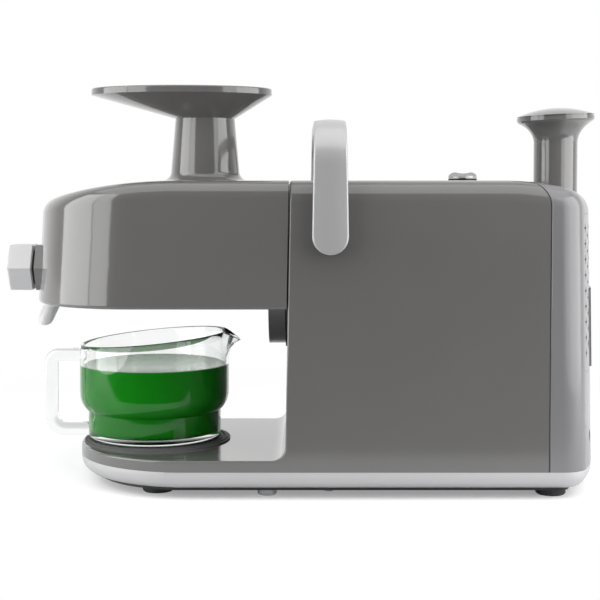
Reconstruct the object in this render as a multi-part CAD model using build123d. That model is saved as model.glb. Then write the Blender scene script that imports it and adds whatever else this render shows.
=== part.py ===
from build123d import *
import os
from math import asin, atan2, cos, degrees, pi, radians, sin, sqrt, tan

# A cold-press juicer: a motor tower on a low platform, a pressing head that slides off the
# tower's two drive shafts, and a jug that stands on the platform under the head.
# Millimetres. +X runs from the pulp outlet at the front to the rear, +Y to the far side and
# +Z up. The origin is on the floor, under the middle of the whole machine.

# ---------------------------------------------------------------- shared sizes
half_width = 92.0            # half the width of tower, platform and front cover
wall = 3.0                   # wall of every large moulding
seam_gap = 1.0               # open seam between the front cover and the tower
slip_gap = 0.3               # gap between faces of pieces that move past each other
seat_gap = 0.2               # gap between faces of pieces that are screwed or snapped together
fit_gap = 0.04               # radial clearance of a shaft or pin in its bore
overcut = 5.0                # how far a cutting solid runs past the face that it opens

# ---------------------------------------------------------------- base
foot_height = 5.5
plate_thickness = 2.8
trim_bottom_z = foot_height + plate_thickness
shell_bottom_z = 22.2        # underside of tower and deck mouldings, top of the bright trim
deck_z = 31.0
deck_edge_round = 1.5
deck_cove = 11.0             # hollow round where the deck meets the tower
platform_centre_x = -90.5    # centre of the half circle at the front of the platform
trim_round = 12.0
trim_lip = 18.0              # how far the trim's bottom reaches inwards
plate_inset = 14.0           # how far the bottom plate's edge stands in from the trim's side
rear_foot_x, rear_foot_y, rear_foot_radius = 193.6, 64.0, 11.7
front_foot_x, front_foot_y, front_foot_radius = -114.6, 54.0, 12.2
post_x, post_y, post_radius = -28.2, 66.0, 7.4
foot_recess_radius = 4.0
foot_recess_depth = 2.5

# ---------------------------------------------------------------- tower
top_z = 244.6
tower_front_top_x = -10.0
tower_front_bottom_x = -13.8
top_round = 16.0
slope_start_x = 155.0        # the roof is flat up to here and then falls in a wide arc
slope_radius = 190.0
rear_bottom_x = 234.5        # rearmost point of the body at the trim
rear_lean = 4.2              # how much further forward the rear is at the top
rear_arc_radius = 200.0
rear_corner_radius = 21.0
seam_vertex_x = 147.5        # foremost point of the curved seam between tower and rear cover
seam_drum_radius = 127.0
drum_gap = 1.0               # open seam between tower and rear cover

grille_inner_y = 28.0        # vented panels of the rear cover, nearest the middle
grille_outer_y = 84.0
grille_low_z = 97.0
grille_high_z = 219.0
grille_corner = 9.0
grille_thickness = 1.6
grille_ledge = 2.5
grille_reach = 40.0          # how far the grille cuts start in front of the rearmost point
vent_first_y = 73.5
vent_pitch_y = 11.0
vent_columns = 4
vent_top_z = 208.0
vent_pitch_z = 12.07
vent_rows = 9
vent_size = 6.8
vent_arm = 1.6
pad_raise = 1.3              # raised field low on the rear
pad_half_width = 50.0
pad_low_z = 98.0
pad_high_z = 160.0
rear_screw_y = 60.0
rear_screw_z = 44.7
rear_screw_recess_radius = 4.5
rear_screw_recess_depth = 5.0
screw_radius = 2.0
screw_head_height = 2.4
screw_edge = 0.8
screw_slot_length, screw_slot_width, screw_slot_depth = 4.5, 0.9, 1.1
cord_z = 129.0               # height of the cord gland on the rear
cord_bore_radius = 3.6
gland_radius = 8.0
gland_flange_radius = 10.5
gland_flange_thickness = 1.6

# ---------------------------------------------------------------- drive axis and coupling
axis_z = 173.6               # height of both drive shafts
shaft_spacing = 32.0         # distance between the two drive shafts
coupling_plate_radius = 65.4
coupling_plate_front_x = -14.0
coupling_plate_thickness = 2.2
boss_rim = 2.0               # how far the tower's boss reaches past the coupling plate
spindle_radius = 8.0
hex_across_flats = 11.0
hex_reach = 17.0             # length of hexagon that stands out in front of the coupling plate

# ---------------------------------------------------------------- head
nose_bottom_x = -216.6       # foremost point of the cover at its underside
nose_top_x = -211.0          # foremost point of the cover's plan at roof height
nose_arc_radius = 110.0
nose_corner_radius = 82.0
cover_bottom_z = 146.6
cover_bottom_round = 2.5
cover_top_round = 13.0
cover_slope_start_x = -95.5
cover_slope_radius = 390.0
chute_x = -80.5
chute_top_z = 295.3
chute_top_radius = 24.3
chute_foot_radius = 28.0
chute_flare = 8.0
chute_bore_radius = 20.5
outlet_hex_flats = 37.0
outlet_hex_front_x = -218.6
outlet_hex_depth = 13.0
collar_radius = 62.6
collar_front_x = -27.5
barrel_front_x = -104.5
screen_front_x = -160.0
chamber_clearance = 0.5      # gap between gear tips and the chamber round them
barrel_wall = 4.5
screen_wall = 2.4
screen_slot_count = 12
screen_slot_width = 1.2

# ---------------------------------------------------------------- twin gears
press_teeth = 10
press_tip_radius = 18.5
press_root_radius = 13.0
press_flank_gap = 0.35       # taken off each side of every tooth
press_twist_per_mm = 0.9     # helix, degrees of turn for each millimetre of length
press_split_x = -104.0       # coarse teeth behind, fine teeth in front
press_hub_radius = 12.0
press_journal_radius = 4.0
press_journal_length = 7.0

# ---------------------------------------------------------------- pulp outlet
plug_radius = 8.3
plug_inner_x = -200.0        # end of the plug's full section; its cone reaches further in
plug_cone_length = 6.0
plug_stud_radius = 5.0
outlet_tube_radius = 11.7
outlet_tube_back_x = -196.0
knob_flats = 36.8
knob_front_x = -240.2
knob_back_x = -220.6
knob_edge_chamfer = 1.0
knob_wall = 3.0              # closed front end of the knob
pulp_spout_radius = 6.05
pulp_spout_wall = 1.2
pulp_spout_tilt = 25.0
pulp_spout_tip_x = -215.0
pulp_spout_tip_z = 126.2
pulp_spout_length = 36.0
pulp_socket_depth = 5.5
funnel_x = -131.0
funnel_length = 46.0
funnel_width = 44.0
funnel_nozzle_radius = 10.0
funnel_low_z = 139.5
funnel_neck = 2.0            # height of the funnel's straight nozzle
funnel_wall = 1.6

# ---------------------------------------------------------------- tray, plunger, handle, dial
tray_centre_x = -99.6
tray_length = 148.0
tray_width = 96.0
tray_top_z = 319.8
tray_rim_height = 5.4
tray_wall = 2.5
tray_spigot_depth = 12.0
plunger_x = 207.9
plunger_radius = 17.8
plunger_bottom_z = 176.0
plunger_neck_z = 275.5
plunger_rim_z = 292.5
plunger_rim_height = 5.6
plunger_head_radius = 31.5
plunger_top_z = 304.3
plunger_head_tilt = 2.5
socket_wall = 2.0
handle_x = 20.4
handle_width = 24.6          # width of the bail at its top
handle_foot_radius = 13.8    # round ends about the pivots
handle_pivot_z = 202.3
handle_top_z = 291.4
handle_outer_y = 103.0
handle_thickness = 9.6
handle_corner_radius = 34.0
handle_crown = 1.4
handle_edge_round = 1.6
handle_pivot_radius = 6.0
handle_blind_wall = 3.0      # left outside the blind holes for the pivots
dial_x = 131.5
dial_radius = 11.7
dial_top_z = 251.4
dial_seat_thickness = 1.8
dial_bar_width = 6.5
dial_face_z = 248.4          # top of the disc each side of the finger bar
dial_dip = 0.9
dial_edge = 1.2              # bevel round the dial's top
switch_size = 20.0
switch_depth = 17.0

# ---------------------------------------------------------------- jug and pad
pad_x = -120.5
pad_radius = 60.0
pad_thickness = 2.0
jug_x = -122.9
jug_radius = 61.35
jug_foot_radius = 54.5
jug_wall = 2.8
jug_floor = 4.0
jug_step_low_z = 55.0
jug_step_high_z = 67.0
jug_rim_front_z = 110.3
jug_rim_rear_z = 121.6
jug_spout_tip_x = -51.5
jug_spout_tip_z = 114.1
jug_spout_low_z = 104.8
jug_spout_half_width = 15.0
jug_handle_outer_x = -213.8
jug_handle_thickness = 10.4
jug_handle_width = 14.0
jug_handle_top_z = 105.9
jug_handle_low_z = 34.0
jug_handle_top_round = 12.0
jug_handle_low_round = 22.0

pad_groove_depth = 0.9
pad_groove_pitch = 3.6
pad_groove_count = 2

# ---------------------------------------------------------------- inside the base
slot_first_x, slot_pitch, slot_count = 60.0, 9.0, 10
slot_width, slot_length, slot_offset_y = 3.0, 30.0, 48.0
board_x, board_y, board_z = 150.0, -52.0, 14.0
board_length, board_width, board_thickness = 64.0, 40.0, 1.6
standoff_inset, standoff_radius = 4.0, 3.0
rear_tab_x = 203.0           # rear face of the tabs that take the rear cover's screws
rear_tab_thickness = 4.0
rear_tab_width = 14.0
gland_depth = 9.0
gland_reach = 3.4
dial_stem_radius = 3.0
base_screws = ((-60.0, 40.0), (20.0, 68.0))
screw_column_radius = 5.0
capacitor_x, capacitor_y, capacitor_radius, capacitor_height = 170.0, 52.0, 14.0, 46.0

# ---------------------------------------------------------------- gearbox and motor
spindle_teeth, spindle_module = 16, 2.0
output_teeth, counter_pinion_teeth, output_module = 40, 10, 2.0
counter_teeth, motor_pinion_teeth, counter_module = 36, 12, 1.5
tooth_gap = 0.22             # taken off each side of every spur tooth
spindle_gear_x = 2.0
spindle_gear_width = 10.0
output_gear_width = 14.0
counter_gear_width = 10.0
gear_side_gap = 3.0
gearbox_wall = 3.5
gearbox_clearance = 4.0
gearbox_depth = 52.0         # from the front wall's outside to the cover
counter_shaft_radius = 5.0
motor_shaft_radius = 4.0
bearing_width = 5.0
bearing_wall = 3.0
motor_radius = 44.0
motor_can_wall = 2.5
motor_length = 78.0
stator_length = 50.0
armature_radius = 27.0
air_gap = 0.8                # between armature and stator
end_bell_length = 12.0
fan_radius = 34.0
fan_blades = 8
cradle_inset = 9.5           # from each end of the motor can to the cradle's ribs
cradle_rib = 5.0
terminal_height, terminal_width, terminal_thickness = 7.0, 5.0, 1.0
relay_length, relay_width, relay_height = 19.0, 15.0, 15.0
plug_length, plug_width, plug_height = 18.0, 6.0, 9.0
filter_radius, filter_height = 6.0, 17.0

output_y = -shaft_spacing / 2
idler_y = shaft_spacing / 2


# ================================================================ small tools of the model
def turned(points, x=0.0, y=0.0):
    """Solid turned about an upright axis at (x, y) from (radius, height) points."""
    profile = Plane.XZ * make_face(Polyline(*points, close=True))
    return Pos(x, y, 0) * revolve(profile, Axis.Z)


def turned_along_x(points, y=0.0, z=0.0):
    """Solid turned about an axis parallel to X from (x, radius) points."""
    return Pos(0, y, z) * revolve(make_face(Polyline(*points, close=True)), Axis.X)


def rod(x_from, x_to, radius, y=0.0, z=0.0):
    """Round bar parallel to X."""
    return turned_along_x([(x_from, 0), (x_to, 0), (x_to, radius), (x_from, radius)], y, z)


def hexagon_bar(x_from, x_to, across_flats, y=0.0, z=0.0):
    """Six-sided bar parallel to X, with two of its flats level."""
    section = RegularPolygon(across_flats / 2, 6, major_radius=False)
    return Pos(x_from, y, z) * extrude(Plane.YZ * section, x_to - x_from)


def side_slab(profile, half_depth):
    """Solid cut from a side view outline, the same on both sides of the middle plane."""
    return extrude(Plane.XZ * profile, half_depth, both=True)


def upright_prism(sketch, z_from, z_to):
    """Prism between two heights from a plan outline."""
    return Pos(0, 0, z_from) * extrude(sketch, z_to - z_from)


def box_between(low, high):
    """Box between two opposite corners."""
    size = [b - a for a, b in zip(low, high)]
    centre = [(a + b) / 2 for a, b in zip(low, high)]
    return Pos(*centre) * Box(*size)


def spur_outline(teeth, module, phase):
    """Plan of a spur gear with straight flanks; phase turns it, in degrees."""
    pitch_radius = module * teeth / 2
    tip = pitch_radius + 0.85 * module
    root = pitch_radius - 1.1 * module
    quarter = pi / (2 * teeth)
    slim = tooth_gap / pitch_radius
    at_tip = quarter * 0.46 - slim * 0.6
    at_root = quarter * 1.62 - slim
    points = []
    for tooth in range(teeth):
        middle = 2 * pi * tooth / teeth + radians(phase)
        for radius, offset in ((root, -at_root), (tip, -at_tip), (tip, at_tip), (root, at_root)):
            angle = middle + offset
            points.append((radius * cos(angle), radius * sin(angle)))
    return make_face(Polyline(*points, close=True))


def mesh_phase(own_teeth, own_phase, other_teeth, direction):
    """Phase of a gear that meshes with another one lying in the given direction."""
    passed = ((direction - own_phase) * own_teeth / 360) % 1
    return direction + 180 - (0.5 - passed) * 360 / other_teeth


def spur_gear(teeth, module, phase, x_from, width, bore, y, z):
    """Spur gear on an axis parallel to X."""
    blank = spur_outline(teeth, module, phase) - Circle(bore)
    return Pos(x_from, y, z) * extrude(Plane.YZ * blank, width)


# ================================================================ outer form of tower and rear
def tower_plan(rear_x, inset):
    """Plan of the tower from well in front of it to the bowed rear."""
    side = half_width - inset
    bow = rear_arc_radius - inset
    back = rear_x - inset
    corner_x = back - bow + sqrt(bow ** 2 - side ** 2)
    front = tower_front_bottom_x - half_width
    edges = [
        Line((front, -side), (corner_x, -side)),
        ThreePointArc((corner_x, -side), (back, 0), (corner_x, side)),
        Line((corner_x, side), (front, side)),
        Line((front, side), (front, -side)),
    ]
    plan = make_face(edges)
    corners = plan.vertices().sort_by(Axis.X)[-2:]
    return fillet(corners, rear_corner_radius - inset)


def tower_column(inset, floor_z):
    """Walls of tower and rear cover up to roof height, without the roof's form."""
    low = Pos(0, 0, floor_z) * tower_plan(rear_bottom_x, inset)
    high = Pos(0, 0, top_z) * tower_plan(rear_bottom_x - rear_lean, inset)
    return loft([low, high], ruled=True)


def tower_block(inset, floor_z):
    """Tower and rear cover as one solid, each face moved inwards by inset."""
    block = tower_column(inset, floor_z)
    roof = top_z - inset
    lean = (tower_front_top_x - tower_front_bottom_x) / (top_z - deck_z)
    end_x = rear_bottom_x + overcut
    turn = asin((end_x - slope_start_x) / (slope_radius - inset))
    drop = (slope_radius - inset) * (1 - cos(turn))
    middle = turn / 2
    side_view = make_face([
        Line((tower_front_bottom_x - lean * (deck_z - floor_z) + inset, floor_z),
             (tower_front_top_x + inset, roof)),
        Line((tower_front_top_x + inset, roof), (slope_start_x, roof)),
        ThreePointArc((slope_start_x, roof),
                      (slope_start_x + (slope_radius - inset) * sin(middle),
                       roof - (slope_radius - inset) * (1 - cos(middle))),
                      (end_x, roof - drop)),
        Line((end_x, roof - drop), (end_x, floor_z)),
        Line((end_x, floor_z),
             (tower_front_bottom_x - lean * (deck_z - floor_z) + inset, floor_z)),
    ])
    block = block & side_slab(side_view, half_width * 2)
    rim = [e for e in block.edges() if e.center().Z > roof - drop - 1 and e.length > 1]
    rim = [e for e in rim if e not in block.edges().filter_by(Axis.Y)]
    return fillet(rim, top_round - inset)


def platform_plan(inset, rear_x):
    """Plan of the platform: straight sides and a half circle at the front."""
    side = half_width - inset
    return make_face([
        Line((rear_x, -side), (platform_centre_x, -side)),
        ThreePointArc((platform_centre_x, -side), (platform_centre_x - side, 0),
                      (platform_centre_x, side)),
        Line((platform_centre_x, side), (rear_x, side)),
        Line((rear_x, side), (rear_x, -side)),
    ])


def foot_plan(inset):
    """Plan of the whole body at the trim, moved inwards by inset."""
    joined = tower_plan(rear_bottom_x, inset) + platform_plan(inset, 0)
    return joined


def seam_drum(radius):
    """Upright drum whose front face is the seam between tower and rear cover."""
    centre_x = seam_vertex_x + seam_drum_radius
    return Pos(centre_x, 0, top_z / 2) * Cylinder(radius, 2 * top_z)


# ================================================================ base pieces
def base_trim():
    """Bright pan round the bottom: side band, rounded edge and a lip turned inwards."""
    outer = upright_prism(foot_plan(0), trim_bottom_z, shell_bottom_z)
    outer = fillet(outer.edges().group_by(Axis.Z)[0], trim_round)
    inner = upright_prism(foot_plan(wall), trim_bottom_z + wall, shell_bottom_z + overcut)
    inner = fillet(inner.edges().group_by(Axis.Z)[0], trim_round - wall)
    opening = upright_prism(foot_plan(trim_lip), 0, shell_bottom_z)
    return outer - inner - opening


def bottom_plate():
    """Black floor plate under the trim's lip, with air slots and the board's standoffs."""
    plate = upright_prism(foot_plan(plate_inset), foot_height, trim_bottom_z)
    for row in range(slot_count):
        x = slot_first_x + row * slot_pitch
        for side in (-1, 1):
            slot = Pos(x, side * slot_offset_y, foot_height) * Box(slot_width, slot_length, overcut * 2)
            plate -= slot
    for x in (board_x - board_length / 2 + standoff_inset, board_x + board_length / 2 - standoff_inset):
        for y in (board_y - board_width / 2 + standoff_inset, board_y + board_width / 2 - standoff_inset):
            plate += turned([(0, foot_height), (standoff_radius, foot_height),
                             (standoff_radius, board_z), (0, board_z)], x, y)
    for side in (-1, 1):
        y = side * rear_screw_y
        tab_front = rear_tab_x - rear_tab_thickness
        plate += box_between((tab_front, y - rear_tab_width / 2, foot_height),
                             (rear_tab_x, y + rear_tab_width / 2, rear_screw_z + rear_tab_width / 2))
        plate -= rod(tab_front - 1, rear_tab_x + 1, screw_radius + fit_gap, y, rear_screw_z)
    for x, place_y in base_screws:
        for y in (-place_y, place_y):
            plate -= Pos(x, y, foot_height) * Cylinder(screw_radius + slip_gap, 4 * plate_thickness)
    return plate


def bottom_screws():
    """Four screws with cross slots that hold the bottom plate to the shell's columns."""
    head_radius = 2 * screw_radius
    head_z = foot_height - screw_head_height
    tip_z = deck_z - 2 * wall - 1
    screws = []
    for x, place_y in base_screws:
        for y in (-place_y, place_y):
            screw = turned([(0, head_z), (head_radius - screw_edge, head_z), (head_radius, head_z + screw_edge),
                            (head_radius, foot_height), (screw_radius, foot_height),
                            (screw_radius, tip_z), (0, tip_z)], x, y)
            for turn in (0, 90):
                slot = Box(screw_slot_length, screw_slot_width, 2 * screw_slot_depth)
                screw -= Pos(x, y, head_z) * Rot(0, 0, turn) * slot
            screws.append(screw)
    return Compound(children=screws)


def pair(shape_at):
    """Two like pieces, one each side of the middle plane."""
    return Compound(children=[shape_at(-1), shape_at(1)])


def rubber_foot(x, y, radius):
    """Moulded foot with a screw recess in its sole."""
    edge = 1.0
    return turned([(0, foot_recess_depth), (foot_recess_radius, foot_recess_depth),
                   (foot_recess_radius, 0), (radius - edge, 0), (radius, edge),
                   (radius, foot_height), (0, foot_height)], x, y)


def front_feet():
    return pair(lambda side: rubber_foot(front_foot_x, side * front_foot_y, front_foot_radius))


def rear_feet():
    return pair(lambda side: rubber_foot(rear_foot_x, side * rear_foot_y, rear_foot_radius))


def support_posts():
    """Bright posts that carry the platform between the rubber feet."""
    edge = 0.8
    outline = [(0, 0), (post_radius - edge, 0), (post_radius, edge),
               (post_radius, foot_height), (0, foot_height)]
    return pair(lambda side: turned(outline, post_x, side * post_y))


def pitcher_pad():
    """Round rubber pad on the deck, with ring grooves round a flat standing face."""
    low = deck_z
    high = deck_z + pad_thickness
    groove = pad_groove_depth
    rim = pad_radius
    outline = [(0, low), (rim, low), (rim, high - groove), (rim - 2.5, high - groove)]
    for ring in range(pad_groove_count):
        edge = rim - 2.5 - ring * pad_groove_pitch
        outline += [(edge, high), (edge - pad_groove_pitch / 2, high),
                    (edge - pad_groove_pitch / 2, high - groove),
                    (edge - pad_groove_pitch, high - groove)]
    edge = rim - 2.5 - pad_groove_count * pad_groove_pitch
    outline += [(edge, high), (0, high)]
    return turned(outline, pad_x, 0)


# ================================================================ tower mouldings
def tower_front_x(z):
    """Place of the tower's leaning front face at a height."""
    lean = (tower_front_top_x - tower_front_bottom_x) / (top_z - deck_z)
    return tower_front_top_x - lean * (top_z - z)


plate_back_x = coupling_plate_front_x + coupling_plate_thickness
boss_back_x = plate_back_x + 1.5 * wall


def main_shell(outer_block, inner_block):
    """Tower and deck as one hollow moulding, open below and at the rear seam."""
    outer = outer_block + upright_prism(platform_plan(0, 0), shell_bottom_z, deck_z)
    cove = [e for e in outer.edges().filter_by(Axis.Y)
            if abs(e.center().Z - deck_z) < 0.1 and e.length > half_width]
    outer = fillet(cove, deck_cove)
    rim = [e for e in outer.edges() if abs(e.center().Z - deck_z) < 0.1
           and e.center().X < tower_front_bottom_x - deck_cove]
    outer = fillet([e for e in rim if e not in outer.edges().filter_by(Axis.Y)], deck_edge_round)
    inner = inner_block + upright_prism(platform_plan(wall, 0), 0, deck_z - wall)
    shell = outer - inner - seam_drum(seam_drum_radius)
    shell += rod(plate_back_x, boss_back_x, coupling_plate_radius + boss_rim, 0, axis_z)
    shell -= rod(plate_back_x - 2 * overcut, plate_back_x, coupling_plate_radius + seat_gap, 0, axis_z)
    for y in (output_y, idler_y):
        shell -= rod(plate_back_x - overcut, boss_back_x + overcut, spindle_radius + slip_gap, y, axis_z)
    pivot_hole = Cylinder(handle_pivot_radius + fit_gap, 4 * half_width, rotation=(90, 0, 0))
    shell -= Pos(handle_x, 0, handle_pivot_z) * pivot_hole
    shell -= Pos(dial_x, 0, top_z) * Cylinder(dial_stem_radius + slip_gap, 4 * wall)
    for place_x, place_y in base_screws:
        for y in (-place_y, place_y):
            shell += screw_column(place_x, y)
    return shell


def screw_column(x, y):
    """Column under the deck or off the tower's side wall that takes one bottom screw."""
    radius = screw_column_radius
    if x < tower_front_bottom_x:
        column = turned([(0, trim_bottom_z), (radius, trim_bottom_z), (radius, deck_z - 1), (0, deck_z - 1)],
                        x, y)
    else:
        top = shell_bottom_z + 2 * deck_cove
        side = half_width - wall / 2
        column = turned([(0, trim_bottom_z), (radius, trim_bottom_z), (radius, top), (0, top)], x, y)
        column += box_between((x - wall / 2, min(y, y / abs(y) * side), shell_bottom_z),
                              (x + wall / 2, max(y, y / abs(y) * side), top))
    return column - turned([(0, 0), (screw_radius + fit_gap, 0), (screw_radius + fit_gap, deck_z - 2 * wall),
                            (0, deck_z - 2 * wall)], x, y)


def mirrored_pair(solid):
    """A solid and its mirror image on the other side of the middle plane."""
    return [solid, mirror(solid, Plane.XZ)]


def grille_window(shrink):
    """Prism along X with rounded corners, through one side of the rear cover."""
    width = grille_outer_y - grille_inner_y - 2 * shrink
    height = grille_high_z - grille_low_z - 2 * shrink
    middle_y = (grille_outer_y + grille_inner_y) / 2
    middle_z = (grille_high_z + grille_low_z) / 2
    section = RectangleRounded(width, height, grille_corner - shrink)
    cut = extrude(Plane.YZ * section, grille_reach + 2 * overcut)
    return Pos(rear_bottom_x - grille_reach, middle_y, middle_z) * cut


def vent_crosses():
    """Every cross-shaped air hole of one side, in columns whose heights alternate."""
    cross = Rectangle(vent_size, vent_arm) + Rectangle(vent_arm, vent_size)
    holes = []
    for column in range(vent_columns):
        odd = column % 2
        for row in range(vent_rows - odd):
            y = vent_first_y - column * vent_pitch_y
            z = vent_top_z - (row + odd / 2) * vent_pitch_z
            hole = extrude(Plane.YZ * cross, grille_reach + 2 * overcut)
            holes.append(Pos(rear_bottom_x - grille_reach, y, z) * hole)
    return holes


def rear_form(outer_block):
    """Outside of the rear cover with its raised lower field."""
    field = box_between((seam_vertex_x + wall * 10, -pad_half_width, pad_low_z),
                        (rear_bottom_x + overcut, pad_half_width, pad_high_z))
    return outer_block + (tower_column(-pad_raise, shell_bottom_z) & field)


def rear_cover(form, inner_block, grille_back):
    """Vented rear cover with the socket that stores the plunger."""
    drum = seam_drum(seam_drum_radius - drum_gap)
    cover = (form - inner_block) & drum
    socket_radius = plunger_radius + slip_gap
    floor = plunger_bottom_z - seat_gap
    tube = turned([(0, floor - socket_wall), (socket_radius + socket_wall, floor - socket_wall),
                   (socket_radius + socket_wall, top_z), (0, top_z)], plunger_x, 0)
    cover += tube & form
    cover -= turned([(0, floor), (socket_radius, floor), (socket_radius, top_z + overcut),
                     (0, top_z + overcut)], plunger_x, 0)
    rebate = grille_window(0) & (form - grille_back)
    for cut in mirrored_pair(rebate) + mirrored_pair(grille_window(grille_ledge)):
        cover -= cut
    for side in (-1, 1):
        y = side * rear_screw_y
        boss = rod(rear_tab_x, rear_bottom_x, rear_screw_recess_radius + wall / 2, y, rear_screw_z)
        cover += boss & form
        surface_x = rear_surface_x(rear_screw_y)
        cover -= rod(surface_x - rear_screw_recess_depth, rear_bottom_x + overcut,
                     rear_screw_recess_radius, y, rear_screw_z)
        cover -= rod(rear_tab_x - overcut, surface_x, screw_radius + slip_gap, y, rear_screw_z)
    cover -= rod(rear_bottom_x - 4 * wall, rear_bottom_x + overcut, gland_radius + seat_gap, 0, cord_z)
    return cover


def rear_surface_x(y):
    """Place of the bowed rear at its foot, at a distance from the middle plane."""
    return rear_bottom_x - rear_arc_radius + sqrt(rear_arc_radius ** 2 - y ** 2)


def vent_grilles(form, grille_back):
    """Two curved panels pierced by crosses, let into the rear cover."""
    panel = grille_window(seat_gap) & (form - grille_back)
    panel -= vent_crosses()
    return Compound(children=mirrored_pair(panel))


def rear_cover_screws():
    """Two pan head screws at the bottom of the rear recesses."""
    head_x = rear_surface_x(rear_screw_y) - rear_screw_recess_depth
    head = screw_head_height
    rim = 2 * screw_radius - 0.2
    outline = [(rear_tab_x - rear_tab_thickness, 0), (head_x + head, 0), (head_x + head, rim - 2 * screw_edge),
               (head_x + head - screw_edge, rim - 0.2), (head_x, rim), (head_x, screw_radius),
               (rear_tab_x - rear_tab_thickness, screw_radius)]
    def screw(side):
        y = side * rear_screw_y
        body = turned_along_x(outline, y, rear_screw_z)
        for turn in (0, 90):
            slot = Rot(turn, 0, 0) * Box(2 * screw_slot_depth, screw_slot_length, screw_slot_width)
            body -= Pos(head_x + head, y, rear_screw_z) * slot
        return body
    return pair(screw)


def cord_gland():
    """Strain relief collar of the mains cord: a flange outside and a nut inside the cover."""
    face = rear_bottom_x - rear_lean * (cord_z - shell_bottom_z) / (top_z - shell_bottom_z) + pad_raise
    flange = face + gland_flange_thickness
    return turned_along_x([
        (face - gland_depth, cord_bore_radius), (face + gland_reach, cord_bore_radius),
        (face + gland_reach, gland_radius - 2), (flange, gland_radius),
        (flange, gland_flange_radius), (face + seat_gap, gland_flange_radius),
        (face + seat_gap, gland_radius), (face - gland_depth, gland_radius)], 0, cord_z)


def coupling_plate():
    """Black ring plate that the head's collar seats on, round both drive shafts."""
    plate = rod(coupling_plate_front_x, plate_back_x, coupling_plate_radius, 0, axis_z)
    for y in (output_y, idler_y):
        plate -= rod(coupling_plate_front_x - 1, plate_back_x + 1, spindle_radius + slip_gap, y, axis_z)
    return plate


# ================================================================ head
def head_plan(nose_x, inset):
    """Plan of the front cover: bowed nose, rounded corners and straight sides."""
    side = half_width - inset
    bow = nose_arc_radius - inset
    front = nose_x + inset
    corner_x = front + bow - sqrt(bow ** 2 - side ** 2)
    plan = make_face([
        Line((0, -side), (corner_x, -side)),
        ThreePointArc((corner_x, -side), (front, 0), (corner_x, side)),
        Line((corner_x, side), (0, side)),
        Line((0, side), (0, -side)),
    ])
    corners = plan.vertices().sort_by(Axis.X)[:2]
    return fillet(corners, nose_corner_radius - inset)


def head_block(inset, rear_reach):
    """Front cover as one solid, each face moved inwards by inset."""
    floor_z = cover_bottom_z + inset
    roof = top_z - inset
    block = loft([Pos(0, 0, cover_bottom_z) * head_plan(nose_bottom_x, inset),
                  Pos(0, 0, top_z) * head_plan(nose_top_x, inset)], ruled=True)
    bow = cover_slope_radius - inset
    end_x = nose_bottom_x - overcut
    turn = asin((cover_slope_start_x - end_x) / bow)
    drop = bow * (1 - cos(turn))
    rear_low = tower_front_x(floor_z) - seam_gap + rear_reach
    rear_high = tower_front_x(roof) - seam_gap + rear_reach
    side_view = make_face([
        Line((rear_low, floor_z), (rear_high, roof)),
        Line((rear_high, roof), (cover_slope_start_x, roof)),
        ThreePointArc((cover_slope_start_x, roof),
                      (cover_slope_start_x - bow * sin(turn / 2), roof - bow * (1 - cos(turn / 2))),
                      (end_x, roof - drop)),
        Line((end_x, roof - drop), (end_x, floor_z)),
        Line((end_x, floor_z), (rear_low, floor_z)),
    ])
    block = block & side_slab(side_view, 2 * half_width)
    level = block.edges().filter_by(Axis.Y)
    rim = [e for e in block.edges() if e.center().Z > roof - drop - 1 and e not in level]
    block = fillet(rim, cover_top_round - inset)
    level = block.edges().filter_by(Axis.Y)
    sole = [e for e in block.edges() if abs(e.center().Z - floor_z) < 0.1 and e not in level]
    if inset < cover_bottom_round:
        block = fillet(sole, cover_bottom_round - inset)
    return block


def stadium_bar(x_from, x_to, radius):
    """Bar along X whose section wraps both drive axes at the given radius."""
    section = SlotCenterToCenter(shaft_spacing, 2 * radius)
    return Pos(x_from, 0, axis_z) * extrude(Plane.YZ * section, x_to - x_from)


def spout_prism(radius, start, end):
    """Round bar along the tilted axis of the pulp spout, measured up from its tip."""
    bar = Pos(0, 0, start) * Cylinder(radius, end - start, align=(Align.CENTER, Align.CENTER, Align.MIN))
    return Pos(pulp_spout_tip_x, 0, pulp_spout_tip_z) * Rot(0, pulp_spout_tilt, 0) * bar


chamber_radius = press_tip_radius + chamber_clearance
throat_radius = chute_bore_radius + wall
collar_back_x = coupling_plate_front_x - slip_gap


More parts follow.
